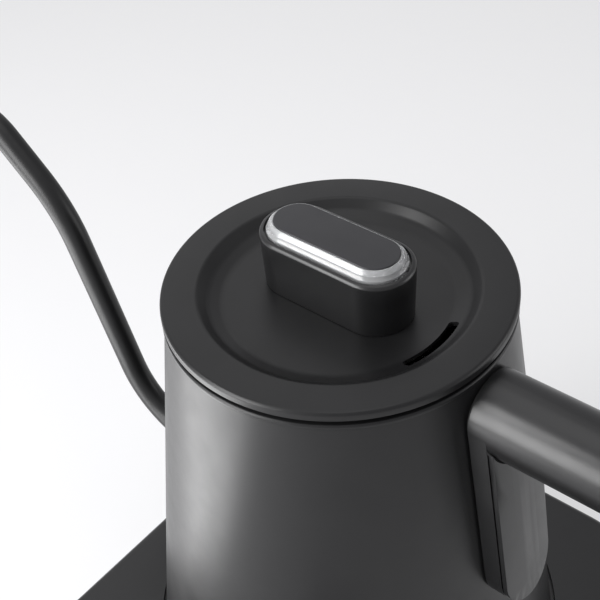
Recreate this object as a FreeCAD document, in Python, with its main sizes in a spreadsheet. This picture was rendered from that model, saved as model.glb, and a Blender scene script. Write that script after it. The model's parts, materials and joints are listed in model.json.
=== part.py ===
"""Electric gooseneck kettle on its power base, in millimetres.

The origin is on the kettle's axis, on the table under the power base.
+X points along the handle, -X along the spout, -Y to the controls and +Z up.
"""
import FreeCAD
import Part
import Sketcher
import math
import os
import re

SIZES = {
    # lid
    "lid_radius": 44,
    "lid_lip": 0.3,
    "lid_edge_round": 0.4,
    "lid_sheet": 1.2,
    "lid_rim_width": 9,
    "lid_slope_width": 6,
    "lid_slope_round": 2.4,
    "lid_recess": 3.7,
    "lid_gap": 2.4,
    "slot_offset": 1.1,
    "slot_width": 2.6,
    "slot_start": -22,
    "slot_end": 14,
    "pan_inset": 2,
    "pan_depth": 16,
    "pan_sheet": 0.8,
    "pan_hole_radius": 2,
    "pan_hole_circle": 24,
    "gasket_room": 3.5,
    "gasket_clearance": 0.3,
    "gasket_lip_height": 1.2,
    "gasket_lip_spacing": 3,
    "gasket_core": 1.6,
    # lid knob
    "knob_straight": 11.65,
    "knob_foot_half": 9.2,
    "knob_ledge_half": 10.15,
    "knob_ledge_height": 11.9,
    "knob_edge_round": 1.5,
    "ring_half": 7.9,
    "ring_height": 2.3,
    "ring_chamfer": 1.35,
    "ring_seat": 1.2,
    "ring_groove": 0.45,
    "ring_floor": 1.4,
    "cap_half": 6,
    "cap_proud": 0.3,
    "cap_edge_round": 0.3,
    "knob_screw_radius": 1.5,
    "knob_screw_depth": 8,
    "knob_screw_spacing": 18,
    # body
    "kettle_height": 134,
    "rim_bead": 0.7,
    "rim_bead_height": 1.3,
    "rim_round": 0.45,
    "wall_slope": 0.1426,
    "wall": 0.8,
    "mouth_flange": 2.8,
    "mouth_collar": 8,
    "floor_height": 24,
    "floor_thickness": 3,
    "skirt_height": 8,
    "seal_thickness": 0.6,
    "seal_inset": 0.2,
    # spout
    "spout_radius": 4,
    "spout_wall": 0.6,
    "spout_root_height": 7.2,
    "spout_root_run": 12.2,
    "spout_low_bend": 28,
    "spout_rise_angle": 73,
    "spout_rise_run": 47.6,
    "spout_neck_bend": 45,
    "spout_neck_angle": 42,
    "spout_neck_run": 15,
    "spout_tip_bend": 20,
    "spout_tip_drop": 12,
    "spout_tip_run": 4,
    "collar_radius": 6.6,
    "collar_length": 4.5,
    "collar_band": 0.9,
    "joint_clearance": 0.05,
    # handle
    "handle_drop": 16.6,
    "handle_radius": 10.2,
    "handle_wall": 2.4,
    "arm_reach": 84,
    "handle_bend": 24,
    "grip_lean": 8,
    "grip_length": 58,
    "flange_depth": 5.4,
    "flange_face": 3.6,
    "flange_drop": 50,
    "pad_thickness": 0.8,
    "pad_inset": 0.7,
    "panel_inset": 0.15,
    "panel_depth": 1.5,
    "panel_gap": 0.25,
    "bracket_half": 6.5,
    "bracket_thickness": 1.5,
    "boss_radius": 4,
    "handle_screw_radius": 1.9,
    "handle_screw_length": 2.9,
    "handle_screw_head": 1.3,
    "handle_screw_sink": 0.75,
    "handle_screw_high": 22,
    "handle_screw_low": 42,
    "end_cap_thickness": 2.6,
    "end_cap_side": 1.3,
    "end_cap_round": 1.1,
    "end_cap_plug": 5,
    # heater and underside
    "element_circle": 40,
    "element_radius": 3.6,
    "element_pin_radius": 1.8,
    "element_pin_length": 5,
    "element_pin_angle": 6,
    "element_sweep": 320,
    "probe_offset": 24,
    "probe_radius": 3,
    "probe_height": 4,
    "probe_round": 1.8,
    "probe_nut_radius": 5,
    "probe_nut_height": 5,
    "cutout_clearance": 2.4,
    "cutout_radius": 8,
    "cutout_height": 5,
    "tail_thickness": 1.6,
    "tail_width": 4.8,
    "tail_length": 2.5,
    "stud_clearance": 2.4,
    "stud_radius": 3,
    "rest_ring": 4,
    "rest_lift": 2,
    "cover_plate": 2,
    "cover_band": 2.2,
    # round connector
    "socket_radius": 14,
    "socket_depth": 10,
    "socket_wall": 5,
    "socket_roof": 3,
    "connector_flange": 28,
    "connector_plate": 2,
    "contact_sheet": 0.5,
    "contact_height": 5,
    "contact_gap": 0.6,
    "contact_inset": 1,
    "pin_radius": 2,
    "pin_reach": 7,
    "pin_tail": 4,
    "pin_round": 1.2,
    "post_height": 8.5,
    "post_round": 1.2,
    # power base
    "foot_height": 2,
    "foot_radius": 7,
    "foot_recess": 1,
    "foot_chamfer": 0.8,
    "base_height": 22,
    "base_half_width": 73,
    "base_back": 73,
    "base_corner": 28,
    "base_edge_round": 3,
    "base_wall": 2.4,
    "base_plate": 2,
    "dock_clearance": 1.15,
    "dock_depth": 1.5,
    "dock_floor": 2,
    "dock_thread": 1.4,
    "dock_bite": 1.2,
    "base_screw_inset": 15,
    "foot_inset": 25,
    "base_boss_radius": 4,
    # controls
    "control_gap": 21,
    "board_end_gap": 2,
    "board_front_gap": 1.6,
    "board_width": 30,
    "board_thickness": 1.6,
    "board_height": 4,
    "standoff_radius": 3,
    "standoff_inset": 4,
    "window_offset": 18,
    "window_length": 62,
    "window_width": 24,
    "window_thickness": 1.6,
    "window_corner": 4,
    "window_ledge": 3,
    "window_gap": 0.15,
    "display_gap": 0.4,
    "dial_offset": 40,
    "dial_radius": 14,
    "dial_height": 11,
    "dial_lift": 1.8,
    "dial_travel": 1.2,
    "dial_edge_round": 1.2,
    "dial_wall": 2,
    "dial_top": 2.5,
    "shaft_radius": 3,
    "shaft_clearance": 0.08,
    "shaft_grip": 7,
    "shaft_end_gap": 0.5,
    "hub_lift": 1.4,
    "encoder_side": 14,
    "encoder_height": 6,
    "encoder_floor": 1.2,
    "rotor_radius": 4.6,
    "rotor_height": 1.8,
    "rotor_proud": 0.9,
    "gland_height": 9.5,
    "gland_radius": 4.5,
    "gland_bore": 3.3,
    "gland_flange": 6.4,
    "gland_flange_depth": 2,
    "gland_length": 10,
    # screws that hold the covers and the connector halves
    "screw_radius": 1.3,
    "screw_head_radius": 2.6,
    "screw_head": 1.2,
    "screw_key": 1,
    "screw_key_depth": 0.7,
    "screw_depth": 8,
    "thread_end": 1,
}

# Heights above the table, as formulas of the sizes
BASE_TOP = "(foot_height + base_height)"
DOCK = f"({BASE_TOP} - dock_depth)"
ROOF_UNDER = f"({DOCK} - dock_floor)"
PLATE_TOP = "(foot_height + base_plate)"
BOARD_UNDER = f"({PLATE_TOP} + board_height)"
BOARD_TOP = f"({BOARD_UNDER} + board_thickness)"
LID_TOP = f"({DOCK} + kettle_height)"
LID_DISC = f"({LID_TOP} - lid_recess)"
LID_FOOT = f"({LID_TOP} - lid_sheet - lid_lip)"
RIM = f"({LID_FOOT} - lid_gap)"
FLOOR = f"({DOCK} + floor_height)"
FLOOR_UNDER = f"({FLOOR} - floor_thickness)"
COVER_TOP = f"({DOCK} + rest_lift + cover_plate)"
SKIRT_TOP = f"({DOCK} + skirt_height)"
SHELL_FOOT = f"({SKIRT_TOP} + seal_thickness)"
LEDGE = f"({LID_TOP} + knob_ledge_height)"
RING_TOP = f"({LEDGE} + ring_height)"
CAP_TOP = f"({RING_TOP} + cap_proud)"
ARM = f"({LID_TOP} - handle_drop)"
SOCKET_MOUTH = f"({DOCK} + 0.5 * rest_lift)"
SOCKET_ROOF = f"({SOCKET_MOUTH} + socket_depth)"

# Radii of the lid, and of the pan, the mouth and the rim that follow it outwards
LID_RIM_INNER = "(lid_radius - lid_rim_width)"
LID_DISC_RADIUS = f"({LID_RIM_INNER} - lid_slope_width)"
SLOT_RADIUS = f"({LID_DISC_RADIUS} + slot_offset)"
PAN_RADIUS = f"({LID_RIM_INNER} + pan_inset)"
MOUTH_RADIUS = f"({PAN_RADIUS} + gasket_room)"
RIM_RADIUS = f"({MOUTH_RADIUS} + mouth_flange)"


def wall_radius(height):
    """Formula of the body's outer radius at a height."""
    return f"({RIM_RADIUS} + wall_slope * ({RIM} - ({height})))"


# Places on and under the chamber's floor
STUD_CIRCLE = "(element_circle + element_radius + stud_clearance + stud_radius)"
CUTOUT_OFFSET = "(element_circle - element_radius - cutout_clearance - cutout_radius)"

# Round connector
POST_RADIUS = "(socket_radius - 2 * contact_sheet - contact_gap)"
PIN_BORE = "(pin_radius + contact_gap + contact_sheet)"
CONNECTOR_SCREW_CIRCLE = "(0.5 * (socket_radius + socket_wall + connector_flange))"

# Power base: the dock takes the kettle's foot, and the control strip lies in front of the dock
DOCK_RADIUS = f"({wall_radius(DOCK)} + dock_clearance)"
CONTROL_ROW = f"({DOCK_RADIUS} + control_gap)"
BASE_FRONT = f"({CONTROL_ROW} + board_width / 2 + board_front_gap + base_wall)"
BOARD_LENGTH = "(2 * (base_half_width - base_screw_inset - base_boss_radius - board_end_gap))"
ENCODER_TOP = f"({BOARD_TOP} + encoder_height)"
DIAL_LOW = f"({BASE_TOP} + dial_lift)"

THIRDS = (60, 180, 300)
PAN_HOLES = 8

doc = FreeCAD.newDocument("GooseneckKettle")


def make_sheet():
    """Write the driving sizes into a sheet, one named cell each."""
    made = doc.addObject("Spreadsheet::Sheet", "Sizes")
    for row, (alias, value) in enumerate(SIZES.items(), start=1):
        made.set(f"A{row}", alias)
        made.set(f"B{row}", str(value))
        made.setAlias(f"B{row}", alias)
    doc.recompute()
    return made


sheet = make_sheet()


def number(formula):
    """Work a formula out from the sheet."""
    return float(sheet.evalExpression(str(formula)))


def cells(formula):
    """Point the size names of a formula at the sheet's cells."""
    def cell(match):
        word = match.group()
        return f"Sizes.{word}" if word in SIZES else word
    return re.sub(r"[a-z][a-z_]*", cell, str(formula))


def bind(thing, **formulas):
    """Bind properties of a document object to formulas of the sheet."""
    for name, formula in formulas.items():
        thing.setExpression(name, cells(formula))
    return thing


def put(thing, x=0, y=0, z=0):
    """Bind the place of a document object."""
    for axis, formula in zip("xyz", (x, y, z)):
        thing.setExpression(f"Placement.Base.{axis}", cells(formula))
    return thing


def turn(thing, axis, angle):
    """Turn a document object about one axis of its own origin, by a formula in degrees."""
    thing.Placement = FreeCAD.Placement(thing.Placement.Base, FreeCAD.Rotation(axis, number(angle)))
    thing.setExpression("Placement.Rotation.Angle", cells(f"({angle}) * 1 deg"))
    return thing


X_AXIS = FreeCAD.Vector(1, 0, 0)
Y_AXIS = FreeCAD.Vector(0, 1, 0)
Z_AXIS = FreeCAD.Vector(0, 0, 1)


# Simple solids and their sums and differences

def rod(name, radius, length, x=0, y=0, z=0):
    """Upright cylinder."""
    made = doc.addObject("Part::Cylinder", name)
    return put(bind(made, Radius=radius, Height=length), x, y, z)


def block(name, length, width, height, x=0, y=0, z=0):
    """Box centred in plan on x, y and standing on z."""
    made = doc.addObject("Part::Box", name)
    bind(made, Length=length, Width=width, Height=height)
    return put(made, f"{x} - ({length}) / 2", f"{y} - ({width}) / 2", z)


def wall_cone(name, offset):
    """Solid cone of the body's wall, moved outwards by an offset."""
    made = doc.addObject("Part::Cone", name)
    top = f"2 * {LID_TOP}"
    bind(made, Radius1=f"{wall_radius(0)} + {offset}", Radius2=f"{wall_radius(top)} + {offset}", Height=top)
    return made


def fuse(name, *pieces):
    """One solid from several."""
    made = doc.addObject("Part::MultiFuse", name)
    made.Shapes = list(pieces)
    made.Refine = True
    return made


def cut(name, base, *tools):
    """Base without the tools."""
    made = doc.addObject("Part::Cut", name)
    made.Base = base
    made.Tool = tools[0] if len(tools) == 1 else fuse(f"{name}_tools", *tools)
    made.Refine = True
    return made


def common(name, base, tool):
    """What two solids share."""
    made = doc.addObject("Part::Common", name)
    made.Base = base
    made.Tool = tool
    return made


def group(name, pieces):
    """Separate like solids under one name."""
    made = doc.addObject("Part::Compound", name)
    made.Links = list(pieces)
    return made


# Sketched bodies

def plane_sketch(body, name, plane, height=None):
    """Sketch on one of a body's own planes."""
    sketch = body.newObject("Sketcher::SketchObject", name)
    support = [feature for feature in body.Origin.OriginFeatures if feature.Role == plane][0]
    sketch.AttachmentSupport = [(support, "")]
    sketch.MapMode = "FlatFace"
    if height is not None:
        sketch.setExpression("AttachmentOffset.Base.z", cells(height))
    return sketch


def hold_point(sketch, geometry, place, x, y):
    """Tie one point of a sketch to formulas for its two coordinates."""
    for kind, axis, formula in (("DistanceX", -2, x), ("DistanceY", -1, y)):
        if str(formula) == "0":
            sketch.addConstraint(Sketcher.Constraint("PointOnObject", geometry, place, axis))
            continue
        rule = Sketcher.Constraint(kind, -1, 1, geometry, place, number(formula))
        index = sketch.addConstraint(rule)
        sketch.setExpression(f"Constraints[{index}]", cells(formula))


def draw_polygon(sketch, outline):
    """Closed outline of straight lines through points given as formulas."""
    points = [FreeCAD.Vector(number(x), number(y), 0) for x, y in outline]
    following = points[1:] + points[:1]
    for start, end in zip(points, following):
        sketch.addGeometry(Part.LineSegment(start, end), False)
    for index in range(len(points)):
        after = (index + 1) % len(points)
        sketch.addConstraint(Sketcher.Constraint("Coincident", index, 2, after, 1))
    for index, (x, y) in enumerate(outline):
        hold_point(sketch, index, 1, x, y)


def draw_slot(sketch, straight, half_width):
    """Outline of two straight sides and two half circles, centred on the origin."""
    reach = number(straight)
    half = number(half_width)
    centre = FreeCAD.Vector(reach, 0, 0)
    quarter = math.pi / 2
    side = FreeCAD.Vector(0, half, 0)
    sketch.addGeometry(Part.LineSegment(side - centre, side + centre), False)
    sketch.addGeometry(Part.ArcOfCircle(Part.Circle(centre, Z_AXIS, half), -quarter, quarter), False)
    sketch.addGeometry(Part.LineSegment(centre - side, -centre - side), False)
    sketch.addGeometry(Part.ArcOfCircle(Part.Circle(-centre, Z_AXIS, half), quarter, 3 * quarter), False)
    for line_end in ((0, 2, 1, 2), (1, 1, 2, 1), (2, 2, 3, 2), (3, 1, 0, 1)):
        sketch.addConstraint(Sketcher.Constraint("Tangent", *line_end))
    hold_point(sketch, 1, 3, straight, "0")
    sketch.addConstraint(Sketcher.Constraint("Symmetric", 1, 3, 3, 3, -1, 1))
    index = sketch.addConstraint(Sketcher.Constraint("Radius", 1, half))
    sketch.setExpression(f"Constraints[{index}]", cells(half_width))


def draw_circle(sketch, x, y, radius):
    """Circle at a place given as formulas."""
    centre = FreeCAD.Vector(number(x), number(y), 0)
    index = sketch.addGeometry(Part.Circle(centre, Z_AXIS, number(radius)), False)
    hold_point(sketch, index, 3, x, y)
    rule = sketch.addConstraint(Sketcher.Constraint("Radius", index, number(radius)))
    sketch.setExpression(f"Constraints[{rule}]", cells(radius))


def lathe(name, outline):
    """Body turned about its own Z axis from an outline of radius and height."""
    body = doc.addObject("PartDesign::Body", name)
    sketch = plane_sketch(body, f"{name}_profile", "XZ_Plane")
    draw_polygon(sketch, outline)
    turned = body.newObject("PartDesign::Revolution", f"{name}_turned")
    turned.Profile = sketch
    turned.ReferenceAxis = (sketch, ["V_Axis"])
    turned.Angle = 360
    doc.recompute()
    return body


def pad(body, name, draw, outline, low, length):
    """Add a sketched outline to a body, from a height upwards."""
    sketch = plane_sketch(body, f"{name}_outline", "XY_Plane", low)
    draw(sketch, *outline)
    made = body.newObject("PartDesign::Pad", name)
    made.Profile = sketch
    bind(made, Length=length)
    doc.recompute()
    return made


def pocket(body, name, draw, outline, low, length):
    """Cut a sketched outline out of a body, from a height upwards."""
    volume = body.Shape.Volume
    sketch = plane_sketch(body, f"{name}_outline", "XY_Plane", low)
    draw(sketch, *outline)
    made = body.newObject("PartDesign::Pocket", name)
    made.Profile = sketch
    made.Reversed = True
    bind(made, Length=length)
    doc.recompute()
    if body.Shape.Volume >= volume:
        raise ValueError(f"{name} cuts nothing")
    return made


def round_edges(body, radius, wanted):
    """Fillet the edges of a body that a test picks."""
    names = [f"Edge{index}" for index, edge in enumerate(body.Shape.Edges, start=1) if wanted(edge)]
    if not names:
        raise ValueError(f"{body.Name} has no edge to round")
    base = body.Tip
    fillet = body.newObject("PartDesign::Fillet", f"{body.Name}_round")
    fillet.Base = (base, names)
    bind(fillet, Radius=radius)
    doc.recompute()
    return fillet


def round_solid(name, base, radius, wanted):
    """Fillet the edges of a fused solid that a test picks."""
    doc.recompute()
    size = number(radius)
    made = doc.addObject("Part::Fillet", name)
    made.Base = base
    made.Edges = [(index, size, size) for index, edge in enumerate(base.Shape.Edges, start=1) if wanted(edge)]
    doc.recompute()
    return made


def ring_at(radius, height):
    """Test for the circular edge of one radius at one height."""
    def wanted(edge):
        if not isinstance(edge.Curve, Part.Circle):
            return False
        same_radius = abs(edge.Curve.Radius - number(radius)) < 1e-4
        return same_radius and abs(edge.Curve.Center.z - number(height)) < 1e-4
    return wanted


def level_at(height):
    """Test for edges that lie level at one height."""
    def wanted(edge):
        box = edge.BoundBox
        return box.ZLength < 1e-4 and abs(box.ZMin - number(height)) < 1e-4
    return wanted


def upright(edge):
    """Test for straight upright edges."""
    return isinstance(edge.Curve, Part.Line) and edge.BoundBox.XLength + edge.BoundBox.YLength < 1e-4


def rectangle(left, right, front, back):
    """Outline of a rectangle in plan."""
    return [(left, front), (right, front), (right, back), (left, back)]


def rounded_block(name, outline, low, height, corner):
    """Body of a rectangle in plan with rounded corners."""
    body = doc.addObject("PartDesign::Body", name)
    pad(body, f"{name}_block", draw_polygon, (outline,), low, height)
    round_edges(body, corner, upright)
    return body


def socket_screw(name, radius, depth, x, y, z, upwards=True, head=None, head_radius=None):
    """Screw with a hexagon socket, its head's outer face at z."""
    head = head or "screw_head"
    head_radius = head_radius or "screw_head_radius"
    top = rod(f"{name}_head", head_radius, head)
    shank = rod(f"{name}_shank", radius, f"{head} + {depth}")
    key = doc.addObject("Part::Prism", f"{name}_key")
    key.Polygon = 6
    bind(key, Circumradius="screw_key", Height="screw_key_depth")
    made = cut(name, fuse(f"{name}_blank", top, shank), key)
    if not upwards:
        turn(made, X_AXIS, "180")
    return put(made, x, y, z)


def around(circle, angle):
    """Formulas of a place on a circle about the axis, at an angle in degrees."""
    return f"{circle} * cos(({angle}) * 1 deg)", f"{circle} * sin(({angle}) * 1 deg)"


# Bent runs in the middle plane

def bent_path(name, start, heading, moves):
    """Path of straight runs and tangent bends in the XZ plane, headings in degrees from +X to +Z."""
    place = FreeCAD.Vector(number(start[0]), 0, number(start[1]))
    edges = []
    for kind, *sizes in moves:
        angle = math.radians(heading)
        if kind == "run":
            end = place + FreeCAD.Vector(math.cos(angle), 0, math.sin(angle)) * number(sizes[0])
            edges.append(Part.LineSegment(place, end).toShape())
        else:
            radius = number(sizes[0])
            after = number(sizes[1])
            side = radius if after > heading else -radius
            centre = place + FreeCAD.Vector(-math.sin(angle), 0, math.cos(angle)) * side
            middle, end = [centre + FreeCAD.Vector(math.sin(turned), 0, -math.cos(turned)) * side
                           for turned in (math.radians((heading + after) / 2), math.radians(after))]
            edges.append(Part.Arc(place, middle, end).toShape())
            heading = after
        place = end
    path = doc.addObject("Part::Feature", name)
    path.Shape = Part.Wire(edges)
    return path, place, heading


def tube_along(name, path, radius):
    """Round bar along a path."""
    first = path.Shape.Edges[0]
    start = first.valueAt(first.FirstParameter)
    along = first.tangentAt(first.FirstParameter)
    circle = doc.addObject("Part::Circle", f"{name}_section")
    bind(circle, Radius=radius)
    circle.Placement = FreeCAD.Placement(start, FreeCAD.Rotation(Z_AXIS, along))
    bar = doc.addObject("Part::Sweep", name)
    bar.Sections = [circle]
    bar.Spine = (path, [f"Edge{index}" for index in range(1, len(path.Shape.Edges) + 1)])
    bar.Solid = True
    doc.recompute()
    expected = math.pi * number(radius) ** 2 * path.Shape.Length
    if abs(bar.Shape.Volume / expected - 1) > 0.001:
        raise ValueError(f"{name} has lost its section")
    return bar


# Lid

def lid_cover():
    """Pressed lid: flat rim, sloped ring and sunken disc, with a turned-down edge and the steam slot."""
    under = f"{LID_TOP} - lid_sheet"
    body = lathe("lid_blank", [
        ("0", LID_DISC), (LID_DISC_RADIUS, LID_DISC), (LID_RIM_INNER, LID_TOP), ("lid_radius", LID_TOP),
        ("lid_radius", LID_FOOT), ("lid_radius - lid_sheet", LID_FOOT),
        ("lid_radius - lid_sheet", under), (LID_RIM_INNER, under),
        (LID_DISC_RADIUS, f"{LID_DISC} - lid_sheet"), ("0", f"{LID_DISC} - lid_sheet")])
    round_edges(body, "lid_edge_round", ring_at("lid_radius", LID_TOP))
    round_edges(body, "lid_slope_round", ring_at(LID_RIM_INNER, LID_TOP))
    round_edges(body, "lid_slope_round", ring_at(LID_DISC_RADIUS, LID_DISC))
    below = f"({LID_DISC} - 2 * lid_sheet)"
    depth = f"{LID_TOP} - {below}"
    holes = [rod(f"knob_screw_hole_{side + 1}", "knob_screw_radius + joint_clearance", depth,
                 f"{side} * knob_screw_spacing / 2", "0", below) for side in (-1, 1)]
    return cut("lid_cover", body, steam_slot(below, depth), *holes)


def steam_slot(low, depth):
    """Curved slot about the axis with round ends, as a solid to cut with."""
    sector = rod("slot_sector", f"{SLOT_RADIUS} + slot_width / 2", depth, z=low)
    turn(bind(sector, Angle="slot_end - slot_start"), Z_AXIS, "slot_start")
    curve = cut("slot_curve", sector, rod("slot_core", f"{SLOT_RADIUS} - slot_width / 2", depth, z=low))
    ends = [rod(f"{end}_round", "slot_width / 2", depth, f"{SLOT_RADIUS} * cos({end} * 1 deg)",
                f"{SLOT_RADIUS} * sin({end} * 1 deg)", low) for end in ("slot_start", "slot_end")]
    return fuse("steam_slot", curve, *ends)


def lid_pan():
    """Inner pan of the lid with a ring of steam holes."""
    low = f"{LID_TOP} - pan_depth"
    top = f"{LID_TOP} - lid_sheet"
    body = lathe("lid_pan", [
        ("0", low), (PAN_RADIUS, low), (PAN_RADIUS, top), (f"{PAN_RADIUS} - pan_sheet", top),
        (f"{PAN_RADIUS} - pan_sheet", f"{low} + pan_sheet"), ("0", f"{low} + pan_sheet")])
    for index in range(PAN_HOLES):
        place = around("pan_hole_circle", 360 * (index + 0.5) / PAN_HOLES)
        hole = (*place, "pan_hole_radius")
        pocket(body, f"steam_hole_{index}", draw_circle, hole, f"{low} - pan_sheet", "3 * pan_sheet")
    return body


def lid_gasket():
    """Soft ring round the pan: a flange on the mouth and two lips inside it."""
    inner = f"{PAN_RADIUS} + joint_clearance"
    core = f"{PAN_RADIUS} + gasket_core"
    lip = f"{MOUTH_RADIUS} - gasket_clearance"
    flange = "lid_radius - lid_sheet - gasket_clearance"
    under = f"{LID_TOP} - lid_sheet"
    outline = [(inner, under), (flange, under), (flange, RIM), (core, RIM)]
    for lip_top in (f"{RIM} - gasket_lip_spacing", f"{RIM} - 2 * gasket_lip_spacing"):
        outline.append((core, lip_top))
        outline.append((lip, lip_top))
        outline.append((core, f"{lip_top} - gasket_lip_height"))
    outline.append((inner, f"{RIM} - 2 * gasket_lip_spacing - gasket_lip_height"))
    return lathe("lid_gasket", outline)


def knob_base():
    """Drafted foot of the knob, with the seat of the clear ring and two screw holes."""
    height = f"{LEDGE} - {LID_DISC}"
    ends = []
    for side in (-1, 1):
        end = doc.addObject("Part::Cone", f"knob_end_{side + 1}")
        bind(end, Radius1="knob_foot_half", Radius2="knob_ledge_half", Height=height)
        ends.append(put(end, f"{side} * knob_straight", 0, LID_DISC))
    middle = doc.addObject("PartDesign::Body", "knob_middle")
    sketch = plane_sketch(middle, "knob_section", "YZ_Plane", "-knob_straight")
    draw_polygon(sketch, [("-knob_foot_half", LID_DISC), ("knob_foot_half", LID_DISC),
                          ("knob_ledge_half", LEDGE), ("-knob_ledge_half", LEDGE)])
    run = middle.newObject("PartDesign::Pad", "knob_run")
    run.Profile = sketch
    bind(run, Length="2 * knob_straight")
    blank = round_solid("knob_blank", fuse("knob_foot", middle, *ends), "knob_edge_round", level_at(LEDGE))
    seat = doc.addObject("PartDesign::Body", "ring_seat_body")
    pad(seat, "ring_seat_cut", draw_slot, ("knob_straight", "ring_half + ring_groove"),
        f"{LEDGE} - ring_seat", "2 * ring_seat")
    threads = [rod(f"knob_thread_{side + 1}", "knob_screw_radius + joint_clearance",
                   "knob_screw_depth + thread_end", f"{side} * knob_screw_spacing / 2", 0, LID_DISC)
               for side in (-1, 1)]
    return cut("knob_base", blank, seat, *threads)


def knob_ring():
    """Clear ring seated in the knob's top, with the pocket of the cap."""
    low = f"{LEDGE} - ring_seat"
    body = doc.addObject("PartDesign::Body", "knob_ring")
    pad(body, "ring_block", draw_slot, ("knob_straight", "ring_half"), low, f"{RING_TOP} - ({low})")
    on_top = level_at(RING_TOP)
    edges = [f"Edge{index}" for index, edge in enumerate(body.Shape.Edges, start=1) if on_top(edge)]
    base = body.Tip
    bevel = body.newObject("PartDesign::Chamfer", "ring_bevel")
    bevel.Base = (base, edges)
    bind(bevel, Size="ring_chamfer")
    doc.recompute()
    pocket(body, "cap_seat", draw_slot, ("knob_straight", "cap_half + joint_clearance"),
           f"{low} + ring_floor", f"{RING_TOP} - ({low})")
    return body


def knob_cap():
    """Dark cap set into the clear ring."""
    low = f"{LEDGE} - ring_seat + ring_floor"
    body = doc.addObject("PartDesign::Body", "knob_cap")
    pad(body, "cap_block", draw_slot, ("knob_straight", "cap_half"), low, f"{CAP_TOP} - ({low})")
    round_edges(body, "cap_edge_round", level_at(CAP_TOP))
    return body


def knob_screws():
    """Two screws from inside the lid into the knob."""
    low = f"{LID_DISC} - lid_sheet - screw_head"
    screws = [socket_screw(f"knob_screw_{side + 1}", "knob_screw_radius", "lid_sheet + knob_screw_depth",
                           f"{side} * knob_screw_spacing / 2", "0", low) for side in (-1, 1)]
    return group("knob_screws", screws)


# Body and spout

def root_place():
    """Formulas of the spout's root on the wall's outer face."""
    height = f"({FLOOR} + spout_root_height)"
    return f"-{wall_radius(height)}", height


def root_bar(name, radius, length):
    """Bar along the spout's root, square to the wall and reaching inwards and outwards."""
    x, z = root_place()
    made = rod(name, radius, f"2 * ({length})")
    turn(made, Y_AXIS, "atan(wall_slope) * 1 / 1 deg - 90")
    back_x = f"{x} + ({length}) * cos(atan(wall_slope))"
    back_z = f"{z} - ({length}) * sin(atan(wall_slope))"
    return put(made, back_x, 0, back_z)


def body_shell():
    """Cone of steel sheet with a rolled rim, a turned-in mouth and the spout's hole."""
    outer_foot = wall_radius(SHELL_FOOT)
    bead_foot = f"({RIM} - rim_bead_height)"
    bead_radius = f"{RIM_RADIUS} + rim_bead"
    under_rim = f"{RIM} - lid_sheet"
    body = lathe("body_cone", [
        (outer_foot, SHELL_FOOT), (wall_radius(bead_foot), bead_foot), (bead_radius, bead_foot),
        (bead_radius, RIM), (MOUTH_RADIUS, RIM),
        (MOUTH_RADIUS, f"{RIM} - mouth_collar"), (f"{MOUTH_RADIUS} + wall", f"{RIM} - mouth_collar"),
        (f"{MOUTH_RADIUS} + wall", under_rim), (f"{wall_radius(under_rim)} - wall", under_rim),
        (f"{outer_foot} - wall", SHELL_FOOT)])
    round_edges(body, "rim_round", ring_at(bead_radius, bead_foot))
    round_edges(body, "rim_round", ring_at(bead_radius, RIM))
    return cut("body_shell", body, root_bar("spout_hole", "spout_radius + joint_clearance", "5 * wall"))


def spout_tube():
    """Gooseneck: out of the wall, up along the body, over and out to the tip."""
    x, z = root_place()
    lean = math.degrees(math.atan(number("wall_slope")))
    start = (f"{x} + wall * cos(atan(wall_slope))", f"{z} - wall * sin(atan(wall_slope))")
    path, _, _ = bent_path("spout_path", start, 180 - lean, [
        ("run", "spout_root_run + wall"),
        ("bend", "spout_low_bend", "180 - spout_rise_angle"),
        ("run", "spout_rise_run"),
        ("bend", "spout_neck_bend", "180 - spout_neck_angle"),
        ("run", "spout_neck_run"),
        ("bend", "spout_tip_bend", "180 + spout_tip_drop"),
        ("run", "spout_tip_run")])
    bore = tube_along("spout_bore", path, "spout_radius - spout_wall")
    return cut("spout_tube", tube_along("spout_bar", path, "spout_radius"), bore)


def spout_collar():
    """Flared collar where the spout meets the wall."""
    bore = "spout_radius + joint_clearance"
    body = lathe("collar_blank", [
        (bore, "-collar_length"), ("collar_radius", "-collar_length"), ("collar_radius", "collar_band"),
        (f"{bore} + spout_wall", "collar_length"), (bore, "collar_length")])
    x, z = root_place()
    turn(body, Y_AXIS, "atan(wall_slope) * 1 / 1 deg - 90")
    put(body, x, 0, z)
    return cut("spout_collar", body, wall_cone("collar_wall", "0"))


# Handle

def arch(name, half, drop, reach):
    """Upright slab along X: round at the arm's axis and at its lower end."""
    top = rod(f"{name}_top", half, reach, z=ARM)
    foot = rod(f"{name}_foot", half, reach, z=f"{ARM} - {drop}")
    for end in (top, foot):
        turn(end, Y_AXIS, "90")
    middle = doc.addObject("Part::Box", f"{name}_middle")
    bind(middle, Length=reach, Width=f"2 * ({half})", Height=drop)
    put(middle, 0, f"-({half})", f"{ARM} - {drop}")
    return fuse(name, top, foot, middle)


def wall_slab(name, half, drop, inner, outer):
    """Arch-shaped slab that lies along the wall, between two offsets from it."""
    slab = arch(f"{name}_arch", half, drop, "2 * lid_radius")
    outside = common(f"{name}_outside", slab, wall_cone(f"{name}_outer", outer))
    return cut(name, outside, wall_cone(f"{name}_inner", inner))


def screw_heights():
    """Formulas of the two handle screws' heights."""
    return [f"{ARM} - {drop}" for drop in ("handle_screw_high", "handle_screw_low")]


def screw_face(height):
    """Formula of the outer face of a handle screw's head, sunk into the flange."""
    return f"{wall_radius(height)} + flange_depth - handle_screw_sink"


def level_bar(name, radius, start, length, height):
    """Bar along +X in the middle plane."""
    made = rod(name, radius, length)
    turn(made, Y_AXIS, "90")
    return put(made, start, 0, height)


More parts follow.
